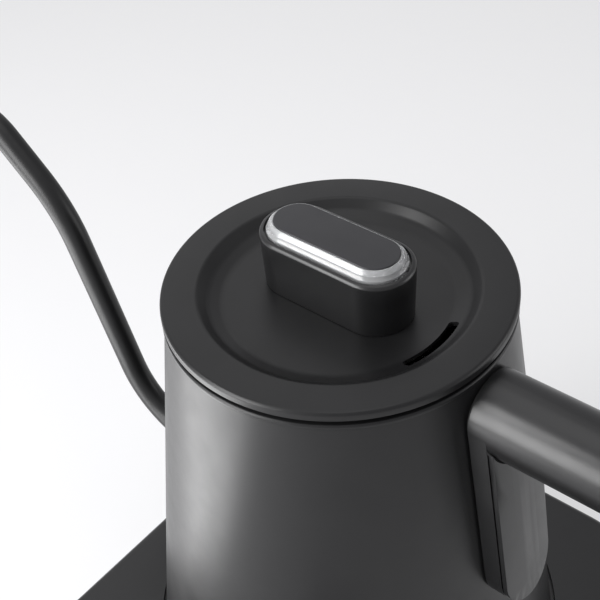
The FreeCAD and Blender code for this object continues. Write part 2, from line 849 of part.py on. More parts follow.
def handle_path():
    """Middle line of the arm, the bend and the grip."""
    return bent_path("handle_path", (f"{wall_radius(ARM)} - handle_radius", ARM), 0, [
        ("run", f"arm_reach - {wall_radius(ARM)} + handle_radius"),
        ("bend", "handle_bend", "grip_lean - 90"),
        ("run", "grip_length")])


def handle_shell(path):
    """Hollow arm and grip with the root flange that sits on the wall."""
    outer = tube_along("handle_bar", path, "handle_radius")
    inner = tube_along("handle_hollow", path, "handle_radius - handle_wall")
    flange = wall_slab("flange", "handle_radius", "flange_drop", "pad_thickness", "flange_depth")
    pocket_depth = "flange_depth - flange_face"
    hollow = wall_slab("flange_hollow", "handle_radius - handle_wall", "flange_drop", "0", pocket_depth)
    holes = [level_bar(f"flange_hole_{index}", "handle_screw_radius + joint_clearance", "0",
                       "2 * lid_radius", height) for index, height in enumerate(screw_heights())]
    sinks = [level_bar(f"flange_sink_{index}", "boss_radius + joint_clearance",
                       f"{screw_face(height)} - handle_screw_head", "flange_depth", height)
             for index, height in enumerate(screw_heights())]
    blank = fuse("handle_blank", outer, flange)
    wall = wall_cone("handle_wall_cut", "pad_thickness")
    return cut("handle_shell", blank, inner, hollow, wall, *holes, *sinks)


def handle_panel(path):
    """Cover plate on the flange under the arm, behind a narrow seam, that hides the handle's screws."""
    slab = wall_slab("panel_slab", "handle_radius - panel_inset", "flange_drop", "flange_depth + panel_gap",
                     "flange_depth + panel_depth")
    return cut("handle_panel", slab, tube_along("panel_arm", path, "handle_radius + panel_gap"))


def handle_end_cap(end, heading):
    """Domed cap plugged into the grip's lower end."""
    plug = "handle_radius - handle_wall - joint_clearance"
    body = lathe("handle_end_cap", [
        ("0", "0"), ("handle_radius", "0"), ("handle_radius", "end_cap_side"),
        ("handle_radius - end_cap_thickness", "end_cap_thickness"), ("0", "end_cap_thickness")])
    round_edges(body, "end_cap_round", ring_at("handle_radius", "end_cap_side"))
    pad(body, "end_plug", draw_circle, ("0", "0", plug), "-end_cap_plug", "end_cap_plug")
    body.Placement = FreeCAD.Placement(end, FreeCAD.Rotation(Y_AXIS, 90 - heading))
    return body


def handle_bracket():
    """Steel bracket welded on the wall, with a threaded boss for each screw."""
    plate = wall_slab("bracket_plate", "bracket_half", "flange_drop", "0", "bracket_thickness")
    tip = "flange_depth - flange_face - joint_clearance"
    bosses = [common(f"bracket_boss_{index}",
                     level_bar(f"boss_bar_{index}", "boss_radius", "0", "2 * lid_radius", height),
                     wall_cone(f"boss_limit_{index}", tip))
              for index, height in enumerate(screw_heights())]
    blank = fuse("bracket_blank", plate, *bosses)
    threads = [level_bar(f"bracket_thread_{index}", "handle_screw_radius + joint_clearance", "0",
                         "2 * lid_radius", height) for index, height in enumerate(screw_heights())]
    return cut("handle_bracket", blank, wall_cone("bracket_wall", "0"), *threads)


def handle_pad():
    """Thin insulating frame between the flange and the wall."""
    frame = wall_slab("pad_frame", "handle_radius - pad_inset", "flange_drop", "0", "pad_thickness")
    hole = arch("pad_hole", "handle_radius - handle_wall", "flange_drop", "2 * lid_radius")
    return cut("handle_pad", frame, hole)


def handle_screws():
    """Two screws through the flange into the bracket."""
    screws = []
    for index, height in enumerate(screw_heights()):
        screw = socket_screw(f"handle_screw_{index}", "handle_screw_radius", "handle_screw_length",
                             "0", "0", "0", head="handle_screw_head", head_radius="boss_radius")
        turn(screw, Y_AXIS, "-90")
        screws.append(put(screw, screw_face(height), 0, height))
    return group("handle_screws", screws)


# Heater and underside

def heater_plate():
    """Floor of the water chamber, with the probe's hole."""
    low = f"{wall_radius(FLOOR_UNDER)} - wall - joint_clearance"
    high = f"{wall_radius(FLOOR)} - wall - joint_clearance"
    body = lathe("heater_plate", [("0", FLOOR_UNDER), (low, FLOOR_UNDER), (high, FLOOR), ("0", FLOOR)])
    hole = ("0", "-probe_offset", "probe_radius + joint_clearance")
    pocket(body, "probe_hole", draw_circle, hole, FLOOR_UNDER, "floor_thickness")
    return body


def heating_element():
    """Sheathed ring under the floor with two cold pins."""
    level = f"{FLOOR_UNDER} - element_radius - joint_clearance"
    ring = doc.addObject("Part::Torus", "element_ring")
    bind(ring, Radius1="element_circle", Radius2="element_radius", Angle3="element_sweep")
    put(ring, 0, 0, level)
    pins = [rod(f"element_pin_{index}", "element_pin_radius", "element_radius + element_pin_length",
                *around("element_circle", angle), f"{level} - element_radius - element_pin_length")
            for index, angle in enumerate(("element_pin_angle", "element_sweep - element_pin_angle"))]
    return fuse("heating_element", ring, *pins)


def temperature_probe():
    """Domed sensor through the floor with its nut below."""
    body = lathe("temperature_probe", [
        ("0", "-probe_nut_height"), ("probe_nut_radius", "-probe_nut_height"), ("probe_nut_radius", "0"),
        ("probe_radius", "0"), ("probe_radius", "floor_thickness + probe_height"),
        ("0", "floor_thickness + probe_height")])
    round_edges(body, "probe_round", ring_at("probe_radius", "floor_thickness + probe_height"))
    return put(body, 0, "-probe_offset", FLOOR_UNDER)


def thermal_cutout():
    """Round safety switch held against the floor, with two terminals."""
    low = f"{FLOOR_UNDER} - cutout_height"
    can = rod("cutout_can", "cutout_radius", "cutout_height", 0, CUTOUT_OFFSET, low)
    tails = [block(f"cutout_tail_{side + 1}", "tail_thickness", "tail_width", "tail_length",
                   f"{side} * cutout_radius / 2", CUTOUT_OFFSET, f"{low} - tail_length") for side in (-1, 1)]
    return fuse("thermal_cutout", can, *tails)


def floor_studs():
    """Three threaded studs under the floor that carry the bottom cover."""
    studs = []
    for index, angle in enumerate(THIRDS):
        place = around(STUD_CIRCLE, angle)
        stud = rod(f"stud_{index}", "stud_radius", f"{FLOOR_UNDER} - {COVER_TOP}", *place, COVER_TOP)
        thread = rod(f"stud_thread_{index}", "screw_radius + joint_clearance",
                     "screw_depth + thread_end", *place, COVER_TOP)
        studs.append(cut(f"floor_stud_{index}", stud, thread))
    return group("floor_studs", studs)


def bottom_cover():
    """Moulded bottom with the ring that the kettle stands on and the connector's hole."""
    outer = wall_radius(DOCK)
    band = f"{wall_radius(SKIRT_TOP)} - cover_band"
    plate = f"{DOCK} + rest_lift"
    hole = "socket_radius + socket_wall + joint_clearance"
    body = lathe("cover_blank", [
        (outer, DOCK), (wall_radius(SKIRT_TOP), SKIRT_TOP), (band, SKIRT_TOP), (band, COVER_TOP),
        (hole, COVER_TOP), (hole, plate), (f"{outer} - rest_ring", plate), (f"{outer} - rest_ring", DOCK)])
    holes = []
    for circle, name in ((STUD_CIRCLE, "cover_hole"), (CONNECTOR_SCREW_CIRCLE, "connector_hole")):
        holes += [rod(f"{name}_{index}", "screw_radius + joint_clearance", "rest_lift + 2 * cover_plate",
                      *around(circle, angle), DOCK) for index, angle in enumerate(THIRDS)]
    return cut("bottom_cover", body, *holes)


def cover_seal():
    """Soft ring between the shell's lower edge and the bottom cover."""
    outer = f"{wall_radius(SHELL_FOOT)} - seal_inset"
    inner = f"{wall_radius(SHELL_FOOT)} - cover_band + 2 * joint_clearance"
    return lathe("cover_seal", [
        (inner, SKIRT_TOP), (outer, SKIRT_TOP), (outer, SHELL_FOOT), (inner, SHELL_FOOT)])


def cover_screws():
    """Three screws through the bottom cover into the studs."""
    low = f"{DOCK} + rest_lift - screw_head"
    screws = [socket_screw(f"cover_screw_{index}", "screw_radius", "cover_plate + screw_depth",
                           *around(STUD_CIRCLE, angle), low) for index, angle in enumerate(THIRDS)]
    return group("cover_screws", screws)


# Connector halves

def kettle_connector():
    """Kettle half of the connector: a socket that opens downwards, on a flange."""
    barrel = "socket_radius + socket_wall"
    roof = f"{SOCKET_ROOF} + socket_roof"
    bore = "pin_radius + joint_clearance"
    flange_top = f"{COVER_TOP} + connector_plate"
    body = lathe("connector_blank", [
        ("socket_radius", SOCKET_MOUTH), (barrel, SOCKET_MOUTH), (barrel, COVER_TOP),
        ("connector_flange", COVER_TOP), ("connector_flange", flange_top), (barrel, flange_top),
        (barrel, roof), (bore, roof), (bore, SOCKET_ROOF), ("socket_radius", SOCKET_ROOF)])
    holes = [rod(f"flange_thread_{index}", "screw_radius + joint_clearance", "2 * connector_plate",
                 *around(CONNECTOR_SCREW_CIRCLE, angle), COVER_TOP) for index, angle in enumerate(THIRDS)]
    return cut("kettle_connector", body, *holes)


def kettle_pin():
    """Middle contact pin of the kettle half."""
    low = f"{SOCKET_ROOF} - pin_reach"
    body = lathe("kettle_pin", [
        ("0", low), ("pin_radius", low), ("pin_radius", f"{SOCKET_ROOF} + socket_roof + pin_tail"),
        ("0", f"{SOCKET_ROOF} + socket_roof + pin_tail")])
    round_edges(body, "pin_round", ring_at("pin_radius", low))
    return body


def sleeve(name, inner, low, height):
    """Thin contact sleeve."""
    outer = f"{inner} + contact_sheet"
    high = f"{low} + {height}"
    return lathe(name, [(inner, low), (outer, low), (outer, high), (inner, high)])


def kettle_ring():
    """Contact sleeve lining the kettle's socket."""
    inner = "socket_radius - contact_sheet - joint_clearance"
    return sleeve("kettle_ring", inner, f"{SOCKET_ROOF} - contact_height - contact_inset", "contact_height")


def connector_screws():
    """Three screws through the bottom cover into the connector's flange."""
    low = f"{DOCK} + rest_lift - screw_head"
    screws = [socket_screw(f"connector_screw_{index}", "screw_radius", "cover_plate + connector_plate",
                           *around(CONNECTOR_SCREW_CIRCLE, angle), low) for index, angle in enumerate(THIRDS)]
    return group("connector_screws", screws)


def base_connector():
    """Base half of the connector: a post through the dock on a flange under it."""
    bore = f"{PIN_BORE} + joint_clearance"
    top = f"{DOCK} + post_height"
    flange_low = f"{ROOF_UNDER} - connector_plate"
    body = lathe("post_blank", [
        (bore, flange_low), ("connector_flange", flange_low), ("connector_flange", ROOF_UNDER),
        (POST_RADIUS, ROOF_UNDER), (POST_RADIUS, top), (bore, top)])
    round_edges(body, "post_round", ring_at(POST_RADIUS, top))
    holes = [rod(f"post_hole_{index}", "screw_radius + joint_clearance", "2 * connector_plate",
                 *around(CONNECTOR_SCREW_CIRCLE, angle), flange_low) for index, angle in enumerate(THIRDS)]
    return cut("base_connector", body, *holes)


def base_ring():
    """Contact sleeve round the post."""
    return sleeve("base_ring", f"{POST_RADIUS} + joint_clearance", f"{DOCK} + dock_depth", "contact_height")


def base_socket():
    """Contact sleeve in the post's middle bore."""
    low = f"{ROOF_UNDER} - connector_plate"
    height = f"{DOCK} + post_height - post_round - ({low})"
    return sleeve("base_socket", "pin_radius + contact_gap", low, height)


def base_connector_screws():
    """Three screws that hold the post's flange up under the dock."""
    low = f"{ROOF_UNDER} - connector_plate - screw_head"
    screws = [socket_screw(f"post_screw_{index}", "screw_radius", "connector_plate + dock_bite",
                           *around(CONNECTOR_SCREW_CIRCLE, angle), low) for index, angle in enumerate(THIRDS)]
    return group("base_connector_screws", screws)


# Power base

def base_corners(inset):
    """Formulas of the places a distance in from the base's four corners."""
    across = f"base_half_width - {inset}"
    return [(f"{side} * ({across})", y) for side in (-1, 1)
            for y in (f"base_back - {inset}", f"-({BASE_FRONT} - {inset})")]


def dial_place():
    """Formulas of the dial's axis."""
    return "dial_offset", f"-{CONTROL_ROW}"


def window_outline(margin):
    """Rectangle round the display, grown by a margin."""
    return rectangle(f"-window_offset - window_length / 2 - ({margin})",
                     f"-window_offset + window_length / 2 + ({margin})",
                     f"-{CONTROL_ROW} - window_width / 2 - ({margin})",
                     f"-{CONTROL_ROW} + window_width / 2 + ({margin})")


def base_top():
    """Upper housing of the base: dock for the kettle and the control strip in front of it."""
    outline = rectangle("-base_half_width", "base_half_width", f"-{BASE_FRONT}", "base_back")
    body = rounded_block("base_housing", outline, "foot_height", "base_height", "base_corner")
    round_edges(body, "base_edge_round", level_at(BASE_TOP))
    inner = rectangle("base_wall - base_half_width", "base_half_width - base_wall",
                      f"base_wall - {BASE_FRONT}", "base_back - base_wall")
    room = rounded_block("base_room", inner, "foot_height", f"{ROOF_UNDER} - foot_height",
                         "base_corner - base_wall")
    bosses = [rod(f"base_boss_{index}", "base_boss_radius", f"{ROOF_UNDER} - {PLATE_TOP}", *place, PLATE_TOP)
              for index, place in enumerate(base_corners("base_screw_inset"))]
    threads = [rod(f"base_thread_{index}", "screw_radius + joint_clearance", "screw_depth + thread_end",
                   *place, PLATE_TOP) for index, place in enumerate(base_corners("base_screw_inset"))]
    dock = rod("dock_cut", DOCK_RADIUS, "2 * dock_depth", z=DOCK)
    post = rod("post_cut", f"{POST_RADIUS} + joint_clearance", "base_height", z=ROOF_UNDER)
    post_threads = [rod(f"post_thread_{index}", "screw_radius + joint_clearance", "dock_thread",
                        *around(CONNECTOR_SCREW_CIRCLE, angle), ROOF_UNDER)
                    for index, angle in enumerate(THIRDS)]
    shaft = rod("shaft_cut", "shaft_radius + 4 * shaft_clearance", "base_height", *dial_place(), ROOF_UNDER)
    seat = rounded_block("window_seat", window_outline("window_gap"), f"{BASE_TOP} - window_thickness",
                         "2 * window_thickness", "window_corner + window_gap")
    view = block("window_view", "window_length - 2 * window_ledge", "window_width - 2 * window_ledge",
                 "base_height", "-window_offset", f"-{CONTROL_ROW}", ROOF_UNDER)
    gland = back_bar("gland_cut", "gland_radius + joint_clearance", "4 * base_wall",
                     "base_back - 2 * base_wall")
    blank = fuse("housing_with_bosses", cut("housing_hollow", body, room), *bosses)
    return cut("base_top", blank, dock, post, shaft, seat, view, gland, *threads, *post_threads)


def back_bar(name, radius, length, start):
    """Bar along +Y at the cord inlet's height."""
    made = rod(name, radius, length)
    turn(made, X_AXIS, "-90")
    return put(made, 0, start, "gland_height + foot_height")


def base_bottom():
    """Bottom plate of the base with feet recesses, screw holes and board posts."""
    margin = "base_wall + 4 * joint_clearance"
    outline = rectangle(f"{margin} - base_half_width", f"base_half_width - ({margin})",
                        f"{margin} - {BASE_FRONT}", f"base_back - ({margin})")
    plate = rounded_block("plate_blank", outline, "foot_height", "base_plate", f"base_corner - ({margin})")
    posts = [rod(f"board_post_{index}", "standoff_radius", f"{BOARD_UNDER} - {PLATE_TOP}", *place, PLATE_TOP)
             for index, place in enumerate(board_posts())]
    feet = [rod(f"foot_recess_{index}", "foot_radius + joint_clearance", "foot_recess", *place, "foot_height")
            for index, place in enumerate(base_corners("foot_inset"))]
    screw_places = base_corners("base_screw_inset")
    holes = [rod(f"plate_hole_{index}", "screw_radius + joint_clearance", "2 * base_plate",
                 *place, "foot_height") for index, place in enumerate(screw_places)]
    sinks = [rod(f"plate_sink_{index}", "screw_head_radius + joint_clearance", "screw_head",
                 *place, "foot_height") for index, place in enumerate(screw_places)]
    return cut("base_bottom", fuse("plate_with_posts", plate, *posts), *feet, *holes, *sinks)


def base_feet():
    """Four soft feet."""
    feet = []
    for index, (x, y) in enumerate(base_corners("foot_inset")):
        foot = lathe(f"base_foot_{index}", [
            ("0", "0"), ("foot_radius - foot_chamfer", "0"), ("foot_radius", "foot_chamfer"),
            ("foot_radius", "foot_height + foot_recess"), ("0", "foot_height + foot_recess")])
        feet.append(put(foot, x, y, 0))
    return group("base_feet", feet)


def base_screws():
    """Four screws through the bottom plate into the housing."""
    depth = "base_plate - screw_head + screw_depth"
    screws = [socket_screw(f"base_screw_{index}", "screw_radius", depth, *place, "foot_height")
              for index, place in enumerate(base_corners("base_screw_inset"))]
    return group("base_screws", screws)


def cord_gland():
    """Bushing in the back wall where the supply lead would enter."""
    start = "base_back - base_wall - 0.5 * (gland_length - base_wall)"
    barrel = back_bar("gland_barrel", "gland_radius", "gland_length", start)
    collar = back_bar("gland_collar", "gland_flange", "gland_flange_depth", "base_back")
    bore = back_bar("gland_hole", "gland_bore", "4 * gland_length", "base_back - 2 * gland_length")
    return cut("cord_gland", fuse("gland_blank", barrel, collar), bore)


# Controls

def board_posts():
    """Formulas of the board's four posts."""
    across = f"{BOARD_LENGTH} / 2 - standoff_inset"
    along = "board_width / 2 - standoff_inset"
    return [(f"{side} * ({across})", f"-{CONTROL_ROW} + {end} * ({along})")
            for side in (-1, 1) for end in (-1, 1)]


def control_board():
    """Circuit board on its posts."""
    return block("control_board", BOARD_LENGTH, "board_width", "board_thickness",
                 0, f"-{CONTROL_ROW}", BOARD_UNDER)


def display_module():
    """Display on the board, just below the window."""
    return block("display_module", "window_length - 2 * window_ledge - 2 * display_gap",
                 "window_width - 2 * window_ledge - 2 * display_gap",
                 f"{BASE_TOP} - window_thickness - display_gap - {BOARD_TOP}",
                 "-window_offset", f"-{CONTROL_ROW}", BOARD_TOP)


def display_window():
    """Dark window flush with the housing."""
    return rounded_block("display_window", window_outline("0"), f"{BASE_TOP} - window_thickness",
                         "window_thickness", "window_corner")


def encoder_body():
    """Fixed housing of the dial's encoder, with the seat of its rotor."""
    x, y = dial_place()
    case = block("encoder_case", "encoder_side", "encoder_side", "encoder_height", x, y, BOARD_TOP)
    seat = rod("rotor_seat", "rotor_radius + 2 * shaft_clearance", "encoder_height", x, y,
               f"{ENCODER_TOP} - rotor_height + rotor_proud")
    well = rod("shaft_well", "shaft_radius + 2 * shaft_clearance", "encoder_height", x, y,
               f"{BOARD_TOP} + encoder_floor")
    return cut("encoder_body", case, seat, well)


def encoder_rotor():
    """Ring that turns in the encoder and lets the shaft slide."""
    x, y = dial_place()
    low = f"{ENCODER_TOP} - rotor_height + rotor_proud + joint_clearance"
    ring = rod("rotor_blank", "rotor_radius", "rotor_height", x, y, low)
    bore = rod("rotor_bore", "shaft_radius + shaft_clearance", "2 * rotor_height", x, y,
               f"{low} - rotor_height / 2")
    return cut("encoder_rotor", ring, bore)


def dial_shaft():
    """Shaft from the encoder up into the dial."""
    x, y = dial_place()
    low = f"{BOARD_TOP} + encoder_floor + dial_travel + shaft_end_gap"
    high = f"{DIAL_LOW} + shaft_grip"
    return rod("dial_shaft", "shaft_radius", f"{high} - ({low})", x, y, low)


def dial_knob():
    """Turned dial with a hollow underside and a hub on the shaft."""
    x, y = dial_place()
    high = f"{DIAL_LOW} + dial_height"
    ceiling = f"{high} - dial_top"
    bore = "shaft_radius + joint_clearance"
    hub = "shaft_radius + dial_wall"
    hub_end = f"{DIAL_LOW} + shaft_grip + joint_clearance"
    body = lathe("dial_knob", [
        ("0", high), ("dial_radius", high), ("dial_radius", DIAL_LOW), ("dial_radius - dial_wall", DIAL_LOW),
        ("dial_radius - dial_wall", ceiling), (hub, ceiling), (hub, f"{DIAL_LOW} + hub_lift"),
        (bore, f"{DIAL_LOW} + hub_lift"), (bore, hub_end), ("0", hub_end)])
    round_edges(body, "dial_edge_round", ring_at("dial_radius", high))
    return put(body, x, y, 0)


def make_parts():
    """Every sub-part, in the order of assembly."""
    path, grip_end, grip_heading = handle_path()
    return [
        base_bottom(), base_feet(), base_screws(), base_top(), base_connector(), base_ring(), base_socket(),
        base_connector_screws(), cord_gland(), control_board(), display_module(), display_window(),
        encoder_body(), encoder_rotor(), dial_shaft(), dial_knob(),
        body_shell(), spout_tube(), spout_collar(), heater_plate(), heating_element(), temperature_probe(),
        thermal_cutout(), floor_studs(), bottom_cover(), cover_seal(), cover_screws(), kettle_connector(),
        kettle_pin(), kettle_ring(), connector_screws(),
        handle_pad(), handle_bracket(), handle_shell(path), handle_screws(), handle_panel(path),
        handle_end_cap(grip_end, grip_heading),
        lid_cover(), lid_pan(), lid_gasket(), knob_base(), knob_ring(), knob_cap(), knob_screws()]


def check_parts(parts):
    """Stop if anything in the document failed or a sub-part isn't a sound solid."""
    for thing in doc.Objects:
        if "Invalid" in thing.State or "Error" in thing.State:
            raise ValueError(f"{thing.Name} failed: {thing.State}")
    for part in parts:
        shape = part.Shape
        if shape.isNull() or not shape.isValid() or not shape.Solids:
            raise ValueError(f"{part.Label} isn't a sound solid")


def write_parts(parts):
    """Write one file for each sub-part."""
    os.makedirs("parts", exist_ok=True)
    for part in parts:
        part.Shape.exportStep(f"parts/{part.Label}.step")


def main():
    parts = make_parts()
    doc.recompute()
    check_parts(parts)
    write_parts(parts)
    for part in parts:
        solids = part.Shape.Solids
        print(f"{part.Label}: {len(solids)} solid(s), {part.Shape.Volume:.1f} mm3")


main()
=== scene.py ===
"""Electric gooseneck kettle on its power base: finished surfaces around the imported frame, in metres."""
import json
import math

import bpy
from mathutils import Matrix, Vector

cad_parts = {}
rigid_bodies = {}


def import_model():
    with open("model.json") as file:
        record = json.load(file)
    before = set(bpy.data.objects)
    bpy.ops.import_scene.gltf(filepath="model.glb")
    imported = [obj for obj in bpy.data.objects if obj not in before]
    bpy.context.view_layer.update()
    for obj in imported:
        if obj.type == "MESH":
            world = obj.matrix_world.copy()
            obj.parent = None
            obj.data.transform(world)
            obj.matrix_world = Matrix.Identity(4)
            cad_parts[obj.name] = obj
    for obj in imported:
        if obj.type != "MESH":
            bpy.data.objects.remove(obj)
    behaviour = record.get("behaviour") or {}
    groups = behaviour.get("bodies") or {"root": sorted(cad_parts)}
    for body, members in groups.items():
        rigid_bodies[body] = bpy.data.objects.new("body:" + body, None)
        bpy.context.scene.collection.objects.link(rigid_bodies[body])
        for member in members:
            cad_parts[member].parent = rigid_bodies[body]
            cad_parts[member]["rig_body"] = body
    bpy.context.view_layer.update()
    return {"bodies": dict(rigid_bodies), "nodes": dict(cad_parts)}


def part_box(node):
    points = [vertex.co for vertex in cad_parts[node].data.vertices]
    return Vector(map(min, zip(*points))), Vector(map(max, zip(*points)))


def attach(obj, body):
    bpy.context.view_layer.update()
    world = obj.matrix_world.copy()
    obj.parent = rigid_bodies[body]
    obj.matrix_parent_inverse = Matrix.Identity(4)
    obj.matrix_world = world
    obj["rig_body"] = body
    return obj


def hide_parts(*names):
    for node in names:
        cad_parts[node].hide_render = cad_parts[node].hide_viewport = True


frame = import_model()
SLOTS = {name: node.material_slots[0].name for name, node in frame["nodes"].items()}

bl_info = {
    "name": "Gooseneck kettle",
    "version": (1, 0, 0),
    "blender": (4, 5, 0),
    "location": "View3D > Sidebar > Kettle",
    "description": "Models the finished surfaces of an electric gooseneck kettle around its frame",
    "category": "Object",
}

MM = 0.001
ORIGIN = (0.0, 0.0, 0.0)
Y_AXIS = (0.0, 1.0, 0.0)
Z_AXIS = (0.0, 0.0, 1.0)
WHITE = (1.0, 1.0, 1.0, 1.0)
MERGE_DISTANCE = 1e-6

# Steps of round shapes
ROUND_SIDES = 256
TUBE_SIDES = 64
ARC_STEPS = 8
SLOT_STEPS = 12
LEAST_BEND_STEPS = 6
SOFT_SEGMENTS = 2
TIP_SEGMENTS = 3

# Angles in degrees: step of a bend, creases that stay sharp, edges to soften, facets that count as flat
BEND_STEP = 2.5
SMOOTH_ANGLE = 35.0
SOFT_ANGLE = 30.0
TIP_ANGLE = 50.0
FLAT_ANGLE = 0.4

# Lengths of cutting bars, in radii of the spout and in depths of the panel
HOLE_REACH = 8
SEAM_REACH = 3

# Noise values where a finish's range starts and ends, fineness of wear, shade and depth of brushed lines
PATTERN_LOW = 0.3
PATTERN_HIGH = 0.7
WEAR_FINENESS = 3.1
BRUSH_SHADE = 0.82
BRUSH_DEPTH = 4e-6

# Width of the camera's sensor in millimetres, and the nearest distance it sees in metres
SENSOR_WIDTH = 36.0
NEAREST = 0.01


def low(node, axis="z"):
    """Lowest place of a frame node along an axis."""
    return getattr(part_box(node)[0], axis)


def high(node, axis="z"):
    """Highest place of a frame node along an axis."""
    return getattr(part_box(node)[1], axis)


# Sizes and colours that a user would change

def length(name, description, default):
    """Property of a size in metres."""
    return bpy.props.FloatProperty(name=name, description=description, default=default,
                                   unit="LENGTH", precision=5)


def angle(name, description, degrees):
    """Property of an angle."""
    return bpy.props.FloatProperty(name=name, description=description, default=math.radians(degrees),
                                   unit="ROTATION")


def number(name, description, default):
    """Property of a plain number."""
    return bpy.props.FloatProperty(name=name, description=description, default=default)


def vector(name, description, default, subtype):
    """Property of a place or a direction."""
    return bpy.props.FloatVectorProperty(name=name, description=description, default=default,
                                         subtype=subtype)


def colour(name, description, default):
    """Property of a surface colour."""
    return bpy.props.FloatVectorProperty(name=name, description=description, default=default, size=3,
                                         subtype="COLOR", min=0.0, max=1.0)


class LidSizes(bpy.types.PropertyGroup):
    """Sizes of the pressed lid."""
    radius: length("Radius", "Outer radius of the lid", high("lid_cover", "x"))
    edge: length("Edge", "Height of the turned-down edge", 2.5 * MM)
    edge_round: length("Edge rounding", "Rounding of the outer edge", 1.0 * MM)
    hem_round: length("Hem rounding", "Rounding of the edge's lower corner", 0.3 * MM)
    sheet: length("Sheet", "Thickness of the lid's sheet", 1.2 * MM)
    rim: length("Rim", "Width of the flat rim", 9.0 * MM)
    slope: length("Slope", "Width of the sloped ring", 6.0 * MM)
    slope_round: length("Slope rounding", "Rounding at the slope's upper end", 1.5 * MM)
    fold_width: length("Fold width", "Width of the slope's steep upper part", 2.6 * MM)
    fold_depth: length("Fold depth", "Depth of the slope's steep upper part", 2.5 * MM)
    fold_round: length("Fold rounding", "Rounding below the steep part", 4.0 * MM)
    disc_round: length("Disc rounding", "Rounding round the sunken disc", 6.0 * MM)
    recess: length("Recess", "Depth of the sunken disc", 3.7 * MM)
    slot_offset: length("Slot offset", "Middle of the steam slot outside the disc", 1.1 * MM)
    slot_width: length("Slot width", "Width of the steam slot", 2.6 * MM)
    slot_round: length("Slot rounding", "Rounding of the slot's ends", 0.91 * MM)
    slot_start: angle("Slot start", "First end of the steam slot, from the handle's side", -22.0)
    slot_end: angle("Slot end", "Second end of the steam slot", 14.0)


class KnobSizes(bpy.types.PropertyGroup):
    """Sizes of the knob's three pieces."""
    straight: length("Straight half", "Half of the knob's straight run", 11.65 * MM)
    foot_half: length("Foot half", "Half width at the lid", 9.2 * MM)
    foot_round: length("Foot rounding", "Rounding of the foot's lower edge", 0.3 * MM)
    ledge_half: length("Ledge half", "Half width at the ledge", high("knob_base", "y") - 0.35 * MM)
    ledge_round: length("Ledge rounding", "Rounding of the ledge's edge", 1.05 * MM)
    groove: length("Groove", "Width of the groove round the clear ring", 0.6 * MM)
    seat: length("Seat", "Depth of the clear ring's seat", 1.2 * MM)
    seat_round: length("Seat rounding", "Rounding of the seat's upper edge", 0.1 * MM)
    ring_half: length("Ring half", "Half width of the clear ring", high("knob_ring", "y"))
    ring_lip: length("Ring lip", "Flat of the clear ring round the cap", 0.3 * MM)
    ring_slope: length("Ring slope", "Height of the clear ring's flat bevel", 1.0 * MM)
    ring_step: length("Ring step", "Upright step between the two bevels", 0.2 * MM)
    ring_side: length("Ring side", "Height of the clear ring's steep bevel", 0.85 * MM)
    ring_side_width: length("Ring side width", "Width of the clear ring's steep bevel", 0.55 * MM)
    ring_foot_round: length("Ring foot rounding", "Rounding below the steep bevel", 0.15 * MM)
    ring_edge_round: length("Ring edge rounding", "Rounding above the flat bevel", 0.1 * MM)
    ring_floor: length("Ring floor", "Thickness under the cap", 1.4 * MM)
    cap_half: length("Cap half", "Half width of the cap", high("knob_cap", "y"))
    cap_round: length("Cap rounding", "Rounding of the cap's edge", 0.3 * MM)
    fit: length("Fit", "Gap between pieces set into each other", 0.05 * MM)


class BodySizes(bpy.types.PropertyGroup):
    """Sizes of the cone-shaped body."""
    rim_radius: length("Rim radius", "Outer radius at the rim", 43.3 * MM)
    foot_radius: length("Foot radius", "Outer radius at the shell's foot", high("body_shell", "y"))
    rim_bead: length("Rim bead", "How far the rolled rim stands out", 0.7 * MM)
    rim_bead_height: length("Rim bead height", "Height of the rolled rim", 1.3 * MM)
    rim_round: length("Rim rounding", "Rounding of the rolled rim", 0.65 * MM)
    bead_round: length("Bead rounding", "Rounding under the rolled rim", 0.3 * MM)
    bead_foot_round: length("Bead foot rounding", "Rounding where the rolled rim meets the wall", 0.15 * MM)
    roll: length("Roll", "Thickness of the rolled rim", 1.2 * MM)
    mouth_radius: length("Mouth radius", "Inner radius of the mouth", 40.5 * MM)
    mouth_round: length("Mouth rounding", "Rounding of the mouth's upper edge", 0.4 * MM)
    mouth_collar: length("Mouth collar", "Depth of the turned-in collar", 8.0 * MM)
    collar_round: length("Collar rounding", "Rounding of the collar's lower edges", 0.3 * MM)
    wall: length("Wall", "Thickness of the wall", 0.8 * MM)


class SpoutSizes(bpy.types.PropertyGroup):
    """Sizes of the gooseneck tube, from its root to its tip."""
    radius: length("Radius", "Outer radius of the tube", high("spout_tube", "y"))
    wall: length("Wall", "Thickness of the tube's wall", 0.6 * MM)
    root_height: length("Root height", "Height of the tube's axis on the wall", 53.7 * MM)
    root_run: length("Root run", "Straight run out of the wall", 12.2 * MM)
    low_bend: length("Low bend", "Radius of the bend upwards", 28.0 * MM)
    rise_angle: angle("Rise", "Slant of the rising run", 73.0)
    rise_run: length("Rise run", "Length of the rising run", 47.6 * MM)
    neck_bend: length("Neck bend", "Radius of the bend outwards", 45.0 * MM)
    neck_angle: angle("Neck", "Slant of the neck", 42.0)
    neck_run: length("Neck run", "Length of the neck", 15.0 * MM)
    tip_bend: length("Tip bend", "Radius of the bend at the tip", 20.0 * MM)
    tip_drop: angle("Tip drop", "Slant of the tip below level", 12.0)
    tip_run: length("Tip run", "Length of the tip", 4.0 * MM)
    edge_round: length("Edge rounding", "Rounding of the tip's edge", 0.25 * MM)


